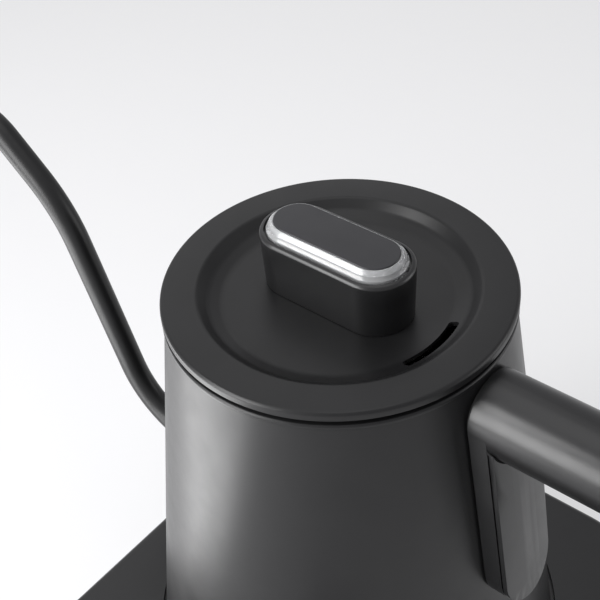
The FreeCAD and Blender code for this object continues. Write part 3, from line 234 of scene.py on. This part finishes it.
class HandleSizes(bpy.types.PropertyGroup):
    """Sizes of the handle and of the seam round its arm."""
    edge_round: length("Edge rounding", "Edge softening of the handle", 0.35 * MM)
    arm_radius: length("Arm radius", "Radius of the handle's arm", high("handle_shell", "y"))
    arm_height: length("Arm height", "Height of the arm's axis",
                       high("handle_shell") - high("handle_shell", "y"))
    arm_seam: length("Arm seam", "Open seam between the arm and the panel under it", 0.55 * MM)


class EdgeSizes(bpy.types.PropertyGroup):
    """Edge softening of the other moulded pieces."""
    base: length("Base", "Edge softening of the power base", 0.5 * MM)
    small: length("Small", "Edge softening of small pieces", 0.15 * MM)


class Finishes(bpy.types.PropertyGroup):
    """Main colours."""
    coat: colour("Coat", "Satin coat of lid, body and spout", (0.010, 0.010, 0.0105))
    plastic: colour("Plastic", "Moulded handle, knob foot and base", (0.010, 0.010, 0.0105))
    cap: colour("Cap", "Cap of the knob", (0.022, 0.022, 0.025))
    floor: colour("Floor", "Table under the kettle", (0.50, 0.50, 0.515))
    surroundings: colour("Surroundings", "Studio round the table", (0.97, 0.97, 1.0))


class StageSizes(bpy.types.PropertyGroup):
    """Camera and lamps, placed from the middle of the lid's top."""
    camera: vector("Camera", "Place of the camera from the lid's middle",
                   (0.1332, -0.1570, 0.1750), "TRANSLATION")
    forward: vector("Forward", "Direction that the camera looks in",
                    (-0.5135, 0.5504, -0.6583), "DIRECTION")
    sideways: vector("Sideways", "Direction to the right of the picture",
                     (0.7688, 0.6360, -0.0680), "DIRECTION")
    lens: number("Lens", "Focal length in millimetres", 66.24)
    floor_half: length("Floor half", "Half of the floor's side", 6.0)
    floor_glow: number("Floor glow", "What lifts the seen table to near white", 0.47)
    softbox_distance: length("Softbox distance", "From the kettle to each softbox", 0.70)
    aim_drop: length("Aim drop", "Height below the lid that the softboxes point at", 0.035)
    panel_azimuth: number("Panel angle", "Degrees from the camera to the low panel", 84.0)
    panel_distance: length("Panel distance", "From the kettle's axis to the low panel", 0.36)
    panel_height: length("Panel height", "Height of the low panel", 0.006)
    panel_side: length("Panel side", "Side of the low panel", 0.36)
    panel_power: number("Panel power", "Watts of the low panel", 1.9)
    world_light: number("World light", "Strength of the surroundings as light", 0.20)
    world_seen: number("World seen", "Strength of the surroundings where they are seen", 0.60)


# Each softbox: name, degrees from the camera to the picture's left, degrees above level, side, watts
SOFTBOXES = (
    ("front left softbox", 60.0, 12.0, 0.40, 4.6),
    ("left high softbox", 72.0, 40.0, 0.28, 2.6),
    ("overhead softbox", 0.0, 90.0, 0.50, 0.8),
    ("back left softbox", 165.0, 45.0, 0.60, 0.55),
    ("right softbox", 270.0, 12.0, 0.40, 0.95),
)


# Modelling helpers

def only(piece):
    """Select one object and make it active."""
    bpy.ops.object.select_all(action="DESELECT")
    piece.select_set(True)
    bpy.context.view_layer.objects.active = piece


def edit(piece):
    """Open one object in edit mode with everything selected."""
    only(piece)
    bpy.ops.object.mode_set(mode="EDIT")
    bpy.ops.mesh.select_mode(type="VERT")
    bpy.ops.mesh.select_all(action="SELECT")


def done():
    """Back to object mode."""
    bpy.ops.object.mode_set(mode="OBJECT")


def pick(piece, wanted):
    """Open one object in edit mode with the vertices that a test picks."""
    only(piece)
    mesh = piece.data
    for polygon in mesh.polygons:
        polygon.select = False
    for edge in mesh.edges:
        edge.select = False
    for vertex in mesh.vertices:
        vertex.select = wanted(vertex.co)
    bpy.ops.object.mode_set(mode="EDIT")
    bpy.ops.mesh.select_mode(type="VERT")


def added(name):
    """Name the object that an operator has just added, with its place in its mesh."""
    piece = bpy.context.object
    piece.name = name
    piece.data.name = name
    bpy.ops.object.transform_apply(location=True, rotation=True, scale=True)
    return piece


def close_mesh():
    """Merge what meets and turn the faces outwards, in edit mode."""
    bpy.ops.mesh.select_all(action="SELECT")
    bpy.ops.mesh.remove_doubles(threshold=MERGE_DISTANCE)
    bpy.ops.mesh.normals_make_consistent(inside=False)


def apply(piece, kind, **settings):
    """Add a modifier to one object and apply it."""
    only(piece)
    modifier = piece.modifiers.new(kind.lower(), kind)
    for name, value in settings.items():
        setattr(modifier, name, value)
    bpy.ops.object.modifier_apply(modifier=modifier.name)


def cut(piece, cutter):
    """Take a cutter's shape out of a piece and delete the cutter."""
    apply(piece, "BOOLEAN", object=cutter, operation="DIFFERENCE", solver="EXACT")
    bpy.data.objects.remove(cutter)


def smooth(piece, degrees=SMOOTH_ANGLE):
    """Smooth shading with sharp creases kept."""
    only(piece)
    bpy.ops.object.shade_smooth_by_angle(angle=math.radians(degrees))


def rounded(corners):
    """Points of an outline of (radius, height, rounding) corners, with its rounded corners as arcs."""
    points = []
    for index, (radius, height, rounding) in enumerate(corners):
        corner = Vector((radius, height))
        if not rounding:
            points.append(corner)
            continue
        back = (Vector(corners[index - 1][:2]) - corner).normalized()
        ahead = (Vector(corners[index + 1][:2]) - corner).normalized()
        half = back.angle(ahead) / 2
        centre = corner + (back + ahead).normalized() * rounding / math.sin(half)
        start = corner + back * rounding / math.tan(half) - centre
        end = corner + ahead * rounding / math.tan(half) - centre
        turn = math.atan2(start.cross(end), start.dot(end))
        for step in range(ARC_STEPS + 1):
            points.append(centre + Matrix.Rotation(turn * step / ARC_STEPS, 2) @ start)
    return points


def lathe(name, corners):
    """Closed piece turned about the kettle's axis from its outline."""
    half_step = math.pi / ROUND_SIDES
    points = [Vector((point.x * math.cos(half_step), point.x * math.sin(half_step), point.y))
              for point in rounded(corners)]
    bpy.ops.object.select_all(action="DESELECT")
    bpy.ops.mesh.primitive_plane_add(size=MM, location=points[0])
    piece = added(name)
    edit(piece)
    bpy.ops.mesh.merge(type="CENTER")
    for start, end in zip(points, points[1:]):
        bpy.ops.mesh.extrude_vertices_move(TRANSFORM_OT_translate={"value": end - start})
    bpy.ops.mesh.select_all(action="SELECT")
    bpy.ops.mesh.spin(steps=ROUND_SIDES, angle=2 * math.pi, center=ORIGIN, axis=Z_AXIS)
    close_mesh()
    done()
    return piece


def stretch(piece, straight):
    """Pull the two halves of a turned piece apart along X, so that it gets straight sides."""
    for side in (-1, 1):
        pick(piece, lambda place: place.x * side > MERGE_DISTANCE)
        bpy.ops.transform.translate(value=(side * straight, 0.0, 0.0))
        done()
    return piece


def tube(name, radius, start, heading, moves):
    """Open tube in the middle plane: straight runs and bends after a start and a heading from +X to +Z."""
    bpy.ops.object.select_all(action="DESELECT")
    bpy.ops.mesh.primitive_circle_add(vertices=TUBE_SIDES, radius=radius, location=start,
                                      rotation=(0.0, math.pi / 2 - heading, 0.0))
    piece = added(name)
    edit(piece)
    place = Vector(start)
    for kind, size, *after in moves:
        ahead = Vector((math.cos(heading), 0.0, math.sin(heading)))
        if kind == "run":
            bpy.ops.mesh.extrude_edges_move(TRANSFORM_OT_translate={"value": ahead * size})
            place += ahead * size
            continue
        turn = after[0] - heading
        inward = Vector((-ahead.z, 0.0, ahead.x)) * math.copysign(size, turn)
        centre = place + inward
        steps = max(LEAST_BEND_STEPS, round(abs(math.degrees(turn)) / BEND_STEP))
        bpy.ops.mesh.spin(steps=steps, angle=turn, center=centre, axis=Y_AXIS)
        place = centre - Matrix.Rotation(-turn, 3, "Y") @ inward
        heading = after[0]
    close_mesh()
    done()
    return piece


def softened(node, name, width):
    """Copy of a frame node's mesh with its loose triangles merged and its sharp edges rounded a little."""
    mesh = frame["nodes"][node].data.copy()
    piece = bpy.data.objects.new(name, mesh)
    mesh.name = name
    bpy.context.scene.collection.objects.link(piece)
    edit(piece)
    bpy.ops.mesh.remove_doubles(threshold=MERGE_DISTANCE)
    bpy.ops.mesh.customdata_custom_splitnormals_clear()
    bpy.ops.mesh.dissolve_limited(angle_limit=math.radians(FLAT_ANGLE))
    done()
    apply(piece, "BEVEL", width=width, segments=SOFT_SEGMENTS, limit_method="ANGLE",
          angle_limit=math.radians(SOFT_ANGLE))
    smooth(piece, SOFT_ANGLE)
    apply(piece, "WEIGHTED_NORMAL", keep_sharp=True)
    return piece


def settle(piece, node):
    """Stand a finished piece in for a frame node: its body, its slot and its material."""
    piece.data.materials.clear()
    piece.data.materials.append(FINISHES[SLOTS[node]])
    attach(piece, frame["nodes"][node]["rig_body"])
    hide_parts(node)


def wall_slope(sizes):
    """How much the body's radius grows for each metre down."""
    return (sizes.foot_radius - sizes.rim_radius) / (high("body_shell") - low("body_shell"))


def wall_radius(sizes, height):
    """Outer radius of the body's wall at a height."""
    return sizes.rim_radius + wall_slope(sizes) * (high("body_shell") - height)


# Finishes

class Nodes:
    """Shorthand for laying out a material's nodes."""

    def __init__(self, name):
        self.material = bpy.data.materials.new(name)
        self.material.use_nodes = True
        self.tree = self.material.node_tree
        self.shader = self.tree.nodes["Principled BSDF"]
        self.place = self.tree.nodes.new("ShaderNodeTexCoord").outputs["Object"]

    def join(self, source, target):
        """Link an output to an input."""
        self.tree.links.new(source, target)

    def stretched(self, scale):
        """Object coordinates scaled along each axis."""
        node = self.tree.nodes.new("ShaderNodeMapping")
        node.inputs["Scale"].default_value = scale
        self.join(self.place, node.inputs["Vector"])
        return node.outputs["Vector"]

    def noise(self, scale, detail=3.0, roughness=0.5, place=None):
        """Cloudy pattern with this many features to the metre."""
        node = self.tree.nodes.new("ShaderNodeTexNoise")
        node.inputs["Scale"].default_value = scale
        node.inputs["Detail"].default_value = detail
        node.inputs["Roughness"].default_value = roughness
        self.join(place or self.place, node.inputs["Vector"])
        return node.outputs["Fac"]

    def between(self, pattern, least, most):
        """Number that follows a pattern between two values."""
        node = self.tree.nodes.new("ShaderNodeMapRange")
        node.inputs["From Min"].default_value = PATTERN_LOW
        node.inputs["From Max"].default_value = PATTERN_HIGH
        node.inputs["To Min"].default_value = least
        node.inputs["To Max"].default_value = most
        self.join(pattern, node.inputs["Value"])
        return node.outputs["Result"]

    def tones(self, pattern, dark, light):
        """Colour that follows a pattern between two tones."""
        node = self.tree.nodes.new("ShaderNodeValToRGB")
        node.color_ramp.elements[0].position = PATTERN_LOW
        node.color_ramp.elements[0].color = (*dark, 1.0)
        node.color_ramp.elements[1].position = PATTERN_HIGH
        node.color_ramp.elements[1].color = (*light, 1.0)
        self.join(pattern, node.inputs["Fac"])
        return node.outputs["Color"]

    def relief(self, pattern, depth):
        """Fine surface relief of a depth in metres."""
        node = self.tree.nodes.new("ShaderNodeBump")
        node.inputs["Distance"].default_value = depth
        self.join(pattern, node.inputs["Height"])
        self.join(node.outputs["Normal"], self.shader.inputs["Normal"])

    def fixed(self, **values):
        """Set shader sockets that are the same all over; underscores stand for spaces."""
        for name, value in values.items():
            self.shader.inputs[name.replace("_", " ")].default_value = value


def shade(tone, factor):
    """A tone made lighter or darker."""
    return tuple(min(1.0, part * factor) for part in tone)


def grained(name, tone, gloss, grain_scale, grain_depth, cloud=45.0, contrast=0.12, **fixed):
    """Even finish with faint clouds in its colour, uneven gloss and a fine grain."""
    nodes = Nodes(name)
    clouds = nodes.noise(cloud, detail=4.0)
    colours = nodes.tones(clouds, shade(tone, 1.0 - contrast), shade(tone, 1.0 + contrast))
    nodes.join(colours, nodes.shader.inputs["Base Color"])
    wear = nodes.noise(WEAR_FINENESS * cloud, detail=5.0, roughness=0.6)
    nodes.join(nodes.between(wear, *gloss), nodes.shader.inputs["Roughness"])
    nodes.relief(nodes.noise(grain_scale, detail=2.0), grain_depth)
    nodes.fixed(**fixed)
    return nodes.material


def brushed(name, tone, gloss, lines):
    """Metal with fine lines, given as lines to the metre along each axis."""
    nodes = Nodes(name)
    streaks = nodes.noise(1.0, detail=3.0, place=nodes.stretched(lines))
    nodes.join(nodes.tones(streaks, shade(tone, BRUSH_SHADE), tone), nodes.shader.inputs["Base Color"])
    nodes.join(nodes.between(streaks, *gloss), nodes.shader.inputs["Roughness"])
    nodes.relief(streaks, BRUSH_DEPTH)
    nodes.fixed(Metallic=1.0)
    return nodes.material


def satin_coat(tone):
    """Baked satin coat with a barely visible orange peel."""
    return grained("satin coat", tone, (0.34, 0.40), 1900.0, 6e-6, Specular_IOR_Level=0.34)


def moulded_plastic(tone):
    """Moulded plastic with a fine spark-eroded grain."""
    return grained("moulded plastic", tone, (0.28, 0.34), 2600.0, 9e-6, Specular_IOR_Level=0.5)


def cap_plastic(tone):
    """Smoother plastic of the knob's cap."""
    return grained("cap plastic", tone, (0.36, 0.42), 3200.0, 5e-6, Specular_IOR_Level=0.4)


def clear_plastic():
    """Clear moulded ring."""
    return grained("clear plastic", (0.93, 0.94, 0.95), (0.06, 0.10), 700.0, 2e-6, contrast=0.02,
                   Transmission_Weight=0.72, IOR=1.585)


def circuit_board():
    """Green solder mask with a faint grid of tracks."""
    nodes = Nodes("circuit board")
    bricks = nodes.tree.nodes.new("ShaderNodeTexBrick")
    bricks.inputs["Color1"].default_value = (0.012, 0.085, 0.035, 1.0)
    bricks.inputs["Color2"].default_value = (0.015, 0.105, 0.045, 1.0)
    bricks.inputs["Mortar"].default_value = (0.05, 0.20, 0.09, 1.0)
    bricks.inputs["Scale"].default_value = 160.0
    bricks.inputs["Mortar Size"].default_value = 0.03
    nodes.join(nodes.place, bricks.inputs["Vector"])
    nodes.join(bricks.outputs["Color"], nodes.shader.inputs["Base Color"])
    nodes.join(nodes.between(nodes.noise(300.0), 0.25, 0.4), nodes.shader.inputs["Roughness"])
    return nodes.material


FINISHES = {}


def make_finishes(tones):
    """Every finish under its slot's name."""
    FINISHES.update({
        "black_coat": satin_coat(tones.coat),
        "black_plastic": moulded_plastic(tones.plastic),
        "cap_plastic": cap_plastic(tones.cap),
        "clear_plastic": clear_plastic(),
        "steel": brushed("brushed steel", (0.62, 0.61, 0.60), (0.22, 0.36), (2200.0, 2200.0, 60.0)),
        "fastener_steel": brushed("zinc plating", (0.58, 0.58, 0.57), (0.30, 0.45), (900.0, 900.0, 900.0)),
        "soft_black": grained("black rubber", (0.018, 0.018, 0.018), (0.70, 0.82), 1500.0, 20e-6),
        "soft_grey": grained("grey silicone", (0.05, 0.05, 0.052), (0.52, 0.62), 900.0, 10e-6),
        "contact_brass": brushed("contact brass", (0.78, 0.57, 0.26), (0.18, 0.30), (700.0, 700.0, 4000.0)),
        "connector_plastic": grained("connector plastic", (0.05, 0.05, 0.052), (0.40, 0.50), 1800.0, 10e-6),
        "switch_metal": brushed("switch metal", (0.55, 0.54, 0.52), (0.25, 0.40), (1200.0, 1200.0, 300.0)),
        "encoder_plastic": grained("encoder plastic", (0.03, 0.05, 0.09), (0.38, 0.48), 1800.0, 8e-6),
        "board": circuit_board(),
        "display": grained("display", (0.012, 0.013, 0.015), (0.12, 0.18), 400.0, 1e-6),
        "dark_glass": grained("dark glass", (0.006, 0.006, 0.007), (0.05, 0.09), 300.0, 1e-6, IOR=1.5),
    })


# Operators, one for each piece or group of like pieces

class KETTLE_OT_finishes(bpy.types.Operator):
    """Make the finishes and give them to the frame's own nodes"""
    bl_idname = "kettle.finishes"
    bl_label = "Finishes"

    def execute(self, context):
        make_finishes(context.scene.kettle_finishes)
        for name, node in frame["nodes"].items():
            node.material_slots[0].material = FINISHES[SLOTS[name]]
        return {"FINISHED"}


class KETTLE_OT_lid(bpy.types.Operator):
    """Model the pressed lid with its steam slot"""
    bl_idname = "kettle.lid"
    bl_label = "Lid"

    def execute(self, context):
        sizes = context.scene.kettle_lid
        top = high("lid_cover")
        under = top - sizes.sheet
        rim_inner = sizes.radius - sizes.rim
        disc = rim_inner - sizes.slope
        fold = rim_inner - sizes.fold_width
        inner_edge = sizes.radius - sizes.sheet
        lid = lathe("lid", [
            (0.0, top - sizes.recess, 0.0), (disc, top - sizes.recess, sizes.disc_round),
            (fold, top - sizes.fold_depth, sizes.fold_round), (rim_inner, top, sizes.slope_round),
            (sizes.radius, top, sizes.edge_round),
            (sizes.radius, top - sizes.edge, sizes.hem_round),
            (inner_edge, top - sizes.edge, sizes.hem_round / 2),
            (inner_edge, under, 0.0), (rim_inner + sizes.sheet / 2, under, 0.0),
            (fold + sizes.sheet / 2, under - sizes.fold_depth, 0.0), (disc, under - sizes.recess, 0.0),
            (0.0, under - sizes.recess, 0.0)])
        cut(lid, self.slot_cutter(sizes, disc + sizes.slot_offset, under - 2 * sizes.recess, top))
        smooth(lid)
        settle(lid, "lid_cover")
        return {"FINISHED"}

    @staticmethod
    def slot_cutter(sizes, radius, bottom, top):
        """Curved bar with rounded ends in the shape of the slot."""
        bpy.ops.object.select_all(action="DESELECT")
        bpy.ops.mesh.primitive_plane_add(size=1.0, location=(radius, 0.0, (bottom + top) / 2),
                                         rotation=(math.pi / 2, 0.0, 0.0))
        bpy.context.object.scale = (sizes.slot_width, top - bottom, 1.0)
        cutter = added("slot_cutter")
        edit(cutter)
        bpy.ops.transform.rotate(value=-sizes.slot_start, orient_axis="Z", center_override=ORIGIN)
        bpy.ops.mesh.spin(steps=SLOT_STEPS, angle=sizes.slot_start - sizes.slot_end, center=ORIGIN,
                          axis=Z_AXIS)
        close_mesh()
        done()
        ends = [Vector((math.cos(turn), math.sin(turn))) for turn in (sizes.slot_start, sizes.slot_end)]

        def at_end(place):
            """Whether a point lies at one of the slot's ends."""
            return max(place.xy.normalized().dot(end) for end in ends) > 1.0 - MERGE_DISTANCE

        pick(cutter, at_end)
        bpy.ops.mesh.bevel(offset=sizes.slot_round, segments=ARC_STEPS, affect="EDGES")
        done()
        return cutter


class KETTLE_OT_knob(bpy.types.Operator):
    """Model the knob's foot, clear ring and cap"""
    bl_idname = "kettle.knob"
    bl_label = "Knob"

    def execute(self, context):
        sizes = context.scene.kettle_knob
        self.foot(sizes)
        self.ring(sizes)
        self.cap(sizes)
        return {"FINISHED"}

    @staticmethod
    def foot(sizes):
        """Drafted foot with the seat of the clear ring."""
        bottom, ledge = low("knob_base"), high("knob_base")
        seat_half = sizes.ring_half + sizes.groove
        foot = lathe("knob_foot", [
            (0.0, bottom, 0.0), (sizes.foot_half, bottom, sizes.foot_round),
            (sizes.ledge_half, ledge, sizes.ledge_round), (seat_half, ledge, sizes.seat_round),
            (seat_half, ledge - sizes.seat, 0.0), (0.0, ledge - sizes.seat, 0.0)])
        smooth(stretch(foot, sizes.straight))
        settle(foot, "knob_base")

    @staticmethod
    def ring(sizes):
        """Clear ring with two bevels, a step between them and the pocket of the cap."""
        bottom, top = low("knob_ring") + sizes.fit, high("knob_ring")
        pocket = sizes.cap_half + sizes.fit
        shoulder = sizes.ring_half - sizes.ring_side_width
        slope_foot = top - sizes.ring_slope
        side_top = slope_foot - sizes.ring_step
        ring = lathe("clear_ring", [
            (0.0, bottom, 0.0), (sizes.ring_half, bottom, 0.0),
            (sizes.ring_half, side_top - sizes.ring_side, sizes.ring_foot_round), (shoulder, side_top, 0.0),
            (shoulder, slope_foot, 0.0), (sizes.cap_half + sizes.ring_lip, top, sizes.ring_edge_round),
            (pocket, top, 0.0),
            (pocket, bottom + sizes.ring_floor, 0.0), (0.0, bottom + sizes.ring_floor, 0.0)])
        smooth(stretch(ring, sizes.straight))
        settle(ring, "knob_ring")

    @staticmethod
    def cap(sizes):
        """Flat cap with a softened edge."""
        bottom, top = low("knob_cap"), high("knob_cap")
        cap = lathe("knob_top", [
            (0.0, bottom, 0.0), (sizes.cap_half, bottom, 0.0), (sizes.cap_half, top, sizes.cap_round),
            (0.0, top, 0.0)])
        smooth(stretch(cap, sizes.straight))
        settle(cap, "knob_cap")


class KETTLE_OT_body(bpy.types.Operator):
    """Model the cone-shaped body with its rolled rim and the spout's hole"""
    bl_idname = "kettle.body"
    bl_label = "Body"

    def execute(self, context):
        sizes = context.scene.kettle_body
        rim, foot = high("body_shell"), low("body_shell")
        collar = sizes.mouth_radius + sizes.wall
        collar_foot = rim - sizes.mouth_collar
        bead_foot = rim - sizes.rim_bead_height
        bead = sizes.rim_radius + sizes.rim_bead
        under = rim - sizes.roll
        body = lathe("kettle_body", [
            (sizes.foot_radius, foot, 0.0),
            (wall_radius(sizes, bead_foot), bead_foot, sizes.bead_foot_round),
            (bead, bead_foot, sizes.bead_round), (bead, rim, sizes.rim_round),
            (sizes.mouth_radius, rim, sizes.mouth_round),
            (sizes.mouth_radius, collar_foot, sizes.collar_round), (collar, collar_foot, sizes.collar_round),
            (collar, under, 0.0), (sizes.rim_radius - sizes.wall, under, 0.0),
            (sizes.foot_radius - sizes.wall, foot, 0.0), (sizes.foot_radius, foot, 0.0)])
        cut(body, self.hole_cutter(sizes, context.scene.kettle_spout))
        smooth(body)
        settle(body, "body_shell")
        return {"FINISHED"}

    @staticmethod
    def hole_cutter(sizes, spout):
        """Bar through the wall where the spout starts."""
        wall = wall_radius(sizes, spout.root_height)
        lean = math.atan(wall_slope(sizes))
        bpy.ops.object.select_all(action="DESELECT")
        bpy.ops.mesh.primitive_cylinder_add(vertices=TUBE_SIDES, radius=spout.radius,
                                            depth=HOLE_REACH * spout.radius,
                                            location=(-wall, 0.0, spout.root_height),
                                            rotation=(0.0, lean - math.pi / 2, 0.0))
        return added("hole_cutter")


class KETTLE_OT_spout(bpy.types.Operator):
    """Model the gooseneck tube and the collar at its root"""
    bl_idname = "kettle.spout"
    bl_label = "Spout"

    def execute(self, context):
        sizes = context.scene.kettle_spout
        body = context.scene.kettle_body
        wall = wall_radius(body, sizes.root_height)
        lean = math.atan(wall_slope(body))
        start = (body.wall * math.cos(lean) - wall, 0.0, sizes.root_height - body.wall * math.sin(lean))
        spout = tube("gooseneck", sizes.radius, start, math.pi - lean, [
            ("run", sizes.root_run + body.wall),
            ("bend", sizes.low_bend, math.pi - sizes.rise_angle),
            ("run", sizes.rise_run),
            ("bend", sizes.neck_bend, math.pi - sizes.neck_angle),
            ("run", sizes.neck_run),
            ("bend", sizes.tip_bend, math.pi + sizes.tip_drop),
            ("run", sizes.tip_run)])
        apply(spout, "SOLIDIFY", thickness=sizes.wall, offset=-1.0)
        apply(spout, "BEVEL", width=sizes.edge_round, segments=TIP_SEGMENTS, limit_method="ANGLE",
              angle_limit=math.radians(TIP_ANGLE))
        smooth(spout)
        settle(spout, "spout_tube")
        collar = softened("spout_collar", "spout_ring", context.scene.kettle_edges.small)
        settle(collar, "spout_collar")
        return {"FINISHED"}


class KETTLE_OT_handle(bpy.types.Operator):
    """Model the handle, its panel and its end cap"""
    bl_idname = "kettle.handle"
    bl_label = "Handle"

    def execute(self, context):
        sizes = context.scene.kettle_handle
        for node, name in (("handle_shell", "handle"), ("handle_end_cap", "grip_cap")):
            settle(softened(node, name, sizes.edge_round), node)
        panel = softened("handle_panel", "root_panel", context.scene.kettle_edges.small)
        cut(panel, self.seam_cutter(sizes))
        settle(panel, "handle_panel")
        return {"FINISHED"}

    @staticmethod
    def seam_cutter(sizes):
        """Bar along the arm that leaves the seam open round it."""
        start, end = low("handle_panel", "x"), high("handle_panel", "x")
        bpy.ops.object.select_all(action="DESELECT")
        bpy.ops.mesh.primitive_cylinder_add(vertices=ROUND_SIDES, radius=sizes.arm_radius + sizes.arm_seam,
                                            depth=SEAM_REACH * (end - start),
                                            location=((start + end) / 2, 0.0, sizes.arm_height),
                                            rotation=(0.0, math.pi / 2, 0.0))
        return added("seam_cutter")


class KETTLE_OT_base(bpy.types.Operator):
    """Model the power base and the kettle's moulded bottom"""
    bl_idname = "kettle.base"
    bl_label = "Power base"

    def execute(self, context):
        edges = context.scene.kettle_edges
        for node, name in (("base_top", "base_housing"), ("bottom_cover", "kettle_bottom")):
            settle(softened(node, name, edges.base), node)
        for node, name in (("display_window", "readout_window"), ("dial_knob", "dial")):
            settle(softened(node, name, edges.small), node)
        return {"FINISHED"}


class KETTLE_OT_stage(bpy.types.Operator):
    """Set the camera, the lamps and the pale table"""
    bl_idname = "kettle.stage"
    bl_label = "Stage"

    def execute(self, context):
        sizes = context.scene.kettle_stage
        tones = context.scene.kettle_finishes
        middle = Vector((0.0, 0.0, high("lid_cover")))
        self.camera(sizes, middle)
        self.floor(sizes, tones.floor)
        for softbox in SOFTBOXES:
            self.softbox(sizes, middle, *softbox)
        self.low_panel(sizes)
        self.world(sizes, tones.surroundings)
        context.scene.view_settings.view_transform = "Standard"
        return {"FINISHED"}

    @staticmethod
    def camera(sizes, middle):
        """Camera from its place, its direction and the picture's level."""
        back = -Vector(sizes.forward).normalized()
        right = Vector(sizes.sideways).normalized()
        up = back.cross(right)
        bpy.ops.object.camera_add()
        camera = bpy.context.object
        turn = Matrix((right, up, back)).transposed()
        camera.matrix_world = Matrix.Translation(middle + Vector(sizes.camera)) @ turn.to_4x4()
        camera.data.lens = sizes.lens
        camera.data.sensor_width = SENSOR_WIDTH
        camera.data.clip_start = NEAREST
        bpy.context.scene.camera = camera

    @staticmethod
    def floor(sizes, tone):
        """Large pale table, lifted towards white only where it is seen."""
        bpy.ops.object.select_all(action="DESELECT")
        bpy.ops.mesh.primitive_plane_add(size=2 * sizes.floor_half)
        floor = added("floor")
        table = grained("pale table", tone, (0.75, 0.85), 400.0, 1e-5, contrast=0.004,
                        Emission_Color=WHITE)
        shader = table.node_tree.nodes["Principled BSDF"]
        seen = KETTLE_OT_stage.seen_only(table.node_tree, 0.0, sizes.floor_glow)
        table.node_tree.links.new(seen, shader.inputs["Emission Strength"])
        floor.data.materials.append(table)

    @staticmethod
    def direction(sizes, azimuth, elevation=0.0):
        """Direction at an angle from the camera towards the picture's left, and above level."""
        around = math.radians(azimuth)
        above = math.radians(elevation)
        toward = Vector((sizes.camera[0], sizes.camera[1], 0.0)).normalized()
        left = Vector((toward.y, -toward.x, 0.0))
        turned = toward * math.cos(around) + left * math.sin(around)
        return turned * math.cos(above) + Vector(Z_AXIS) * math.sin(above)

    @staticmethod
    def lamp(name, place, target, side, power):
        """Square soft lamp that isn't itself in the picture."""
        bpy.ops.object.light_add(type="AREA", location=place)
        lamp = bpy.context.object
        lamp.name = name
        lamp.rotation_euler = (target - place).to_track_quat("-Z", "Y").to_euler()
        lamp.data.shape = "SQUARE"
        lamp.data.size = side
        lamp.data.energy = power
        lamp.visible_camera = False

    def softbox(self, sizes, middle, name, azimuth, elevation, side, power):
        """Softbox that stands around the kettle and points at it."""
        target = middle - Vector(Z_AXIS) * sizes.aim_drop
        place = target + self.direction(sizes, azimuth, elevation) * sizes.softbox_distance
        self.lamp(name, place, target, side, power)

    def low_panel(self, sizes):
        """Panel of light on the table, left of the picture."""
        place = self.direction(sizes, sizes.panel_azimuth) * sizes.panel_distance
        place.z = sizes.panel_height
        self.lamp("low panel", place, place + Vector(Z_AXIS), sizes.panel_side, sizes.panel_power)

    @staticmethod
    def seen_only(tree, unseen, seen):
        """One strength where the camera, a reflection or a clear piece looks, and another as light."""
        rays = tree.nodes.new("ShaderNodeLightPath")
        looks = rays.outputs["Is Camera Ray"]
        for kind in ("Is Glossy Ray", "Is Transmission Ray"):
            either = tree.nodes.new("ShaderNodeMath")
            either.operation = "MAXIMUM"
            tree.links.new(looks, either.inputs[0])
            tree.links.new(rays.outputs[kind], either.inputs[1])
            looks = either.outputs[0]
        strength = tree.nodes.new("ShaderNodeMapRange")
        strength.inputs["To Min"].default_value = unseen
        strength.inputs["To Max"].default_value = seen
        tree.links.new(looks, strength.inputs["Value"])
        return strength.outputs["Result"]

    @staticmethod
    def world(sizes, tone):
        """Even pale surroundings, brighter where they are seen than as light."""
        world = bpy.data.worlds.new("studio")
        world.use_nodes = True
        tree = world.node_tree
        background = tree.nodes["Background"]
        strength = KETTLE_OT_stage.seen_only(tree, sizes.world_light, sizes.world_seen)
        tree.links.new(strength, background.inputs["Strength"])
        background.inputs["Color"].default_value = (*tone, 1.0)
        bpy.context.scene.world = world


OPERATORS = (KETTLE_OT_finishes, KETTLE_OT_lid, KETTLE_OT_knob, KETTLE_OT_body, KETTLE_OT_spout,
             KETTLE_OT_handle, KETTLE_OT_base, KETTLE_OT_stage)


class KETTLE_PT_panel(bpy.types.Panel):
    """List the kettle's operators"""
    bl_idname = "KETTLE_PT_panel"
    bl_label = "Gooseneck kettle"
    bl_space_type = "VIEW_3D"
    bl_region_type = "UI"
    bl_category = "Kettle"

    def draw(self, context):
        for operator in OPERATORS:
            self.layout.operator(operator.bl_idname)


SETTINGS = {
    "kettle_lid": LidSizes,
    "kettle_knob": KnobSizes,
    "kettle_body": BodySizes,
    "kettle_spout": SpoutSizes,
    "kettle_handle": HandleSizes,
    "kettle_edges": EdgeSizes,
    "kettle_finishes": Finishes,
    "kettle_stage": StageSizes,
}


def register():
    """Register the classes and put the settings on the scene."""
    for group in (*SETTINGS.values(), *OPERATORS, KETTLE_PT_panel):
        bpy.utils.register_class(group)
    for name, group in SETTINGS.items():
        setattr(bpy.types.Scene, name, bpy.props.PointerProperty(type=group))


def unregister():
    """Take the settings and the classes away again."""
    for name in SETTINGS:
        delattr(bpy.types.Scene, name)
    for group in reversed((*SETTINGS.values(), *OPERATORS, KETTLE_PT_panel)):
        bpy.utils.unregister_class(group)


def clear_start():
    """Remove what a new file holds besides the frame."""
    kept = {*frame["nodes"].values(), *frame["bodies"].values()}
    for thing in list(bpy.data.objects):
        if thing not in kept:
            bpy.data.objects.remove(thing)


def main():
    """Build everything in order."""
    register()
    clear_start()
    for operator in OPERATORS:
        group, name = operator.bl_idname.split(".")
        getattr(getattr(bpy.ops, group), name)()


if __name__ == "__main__":
    main()
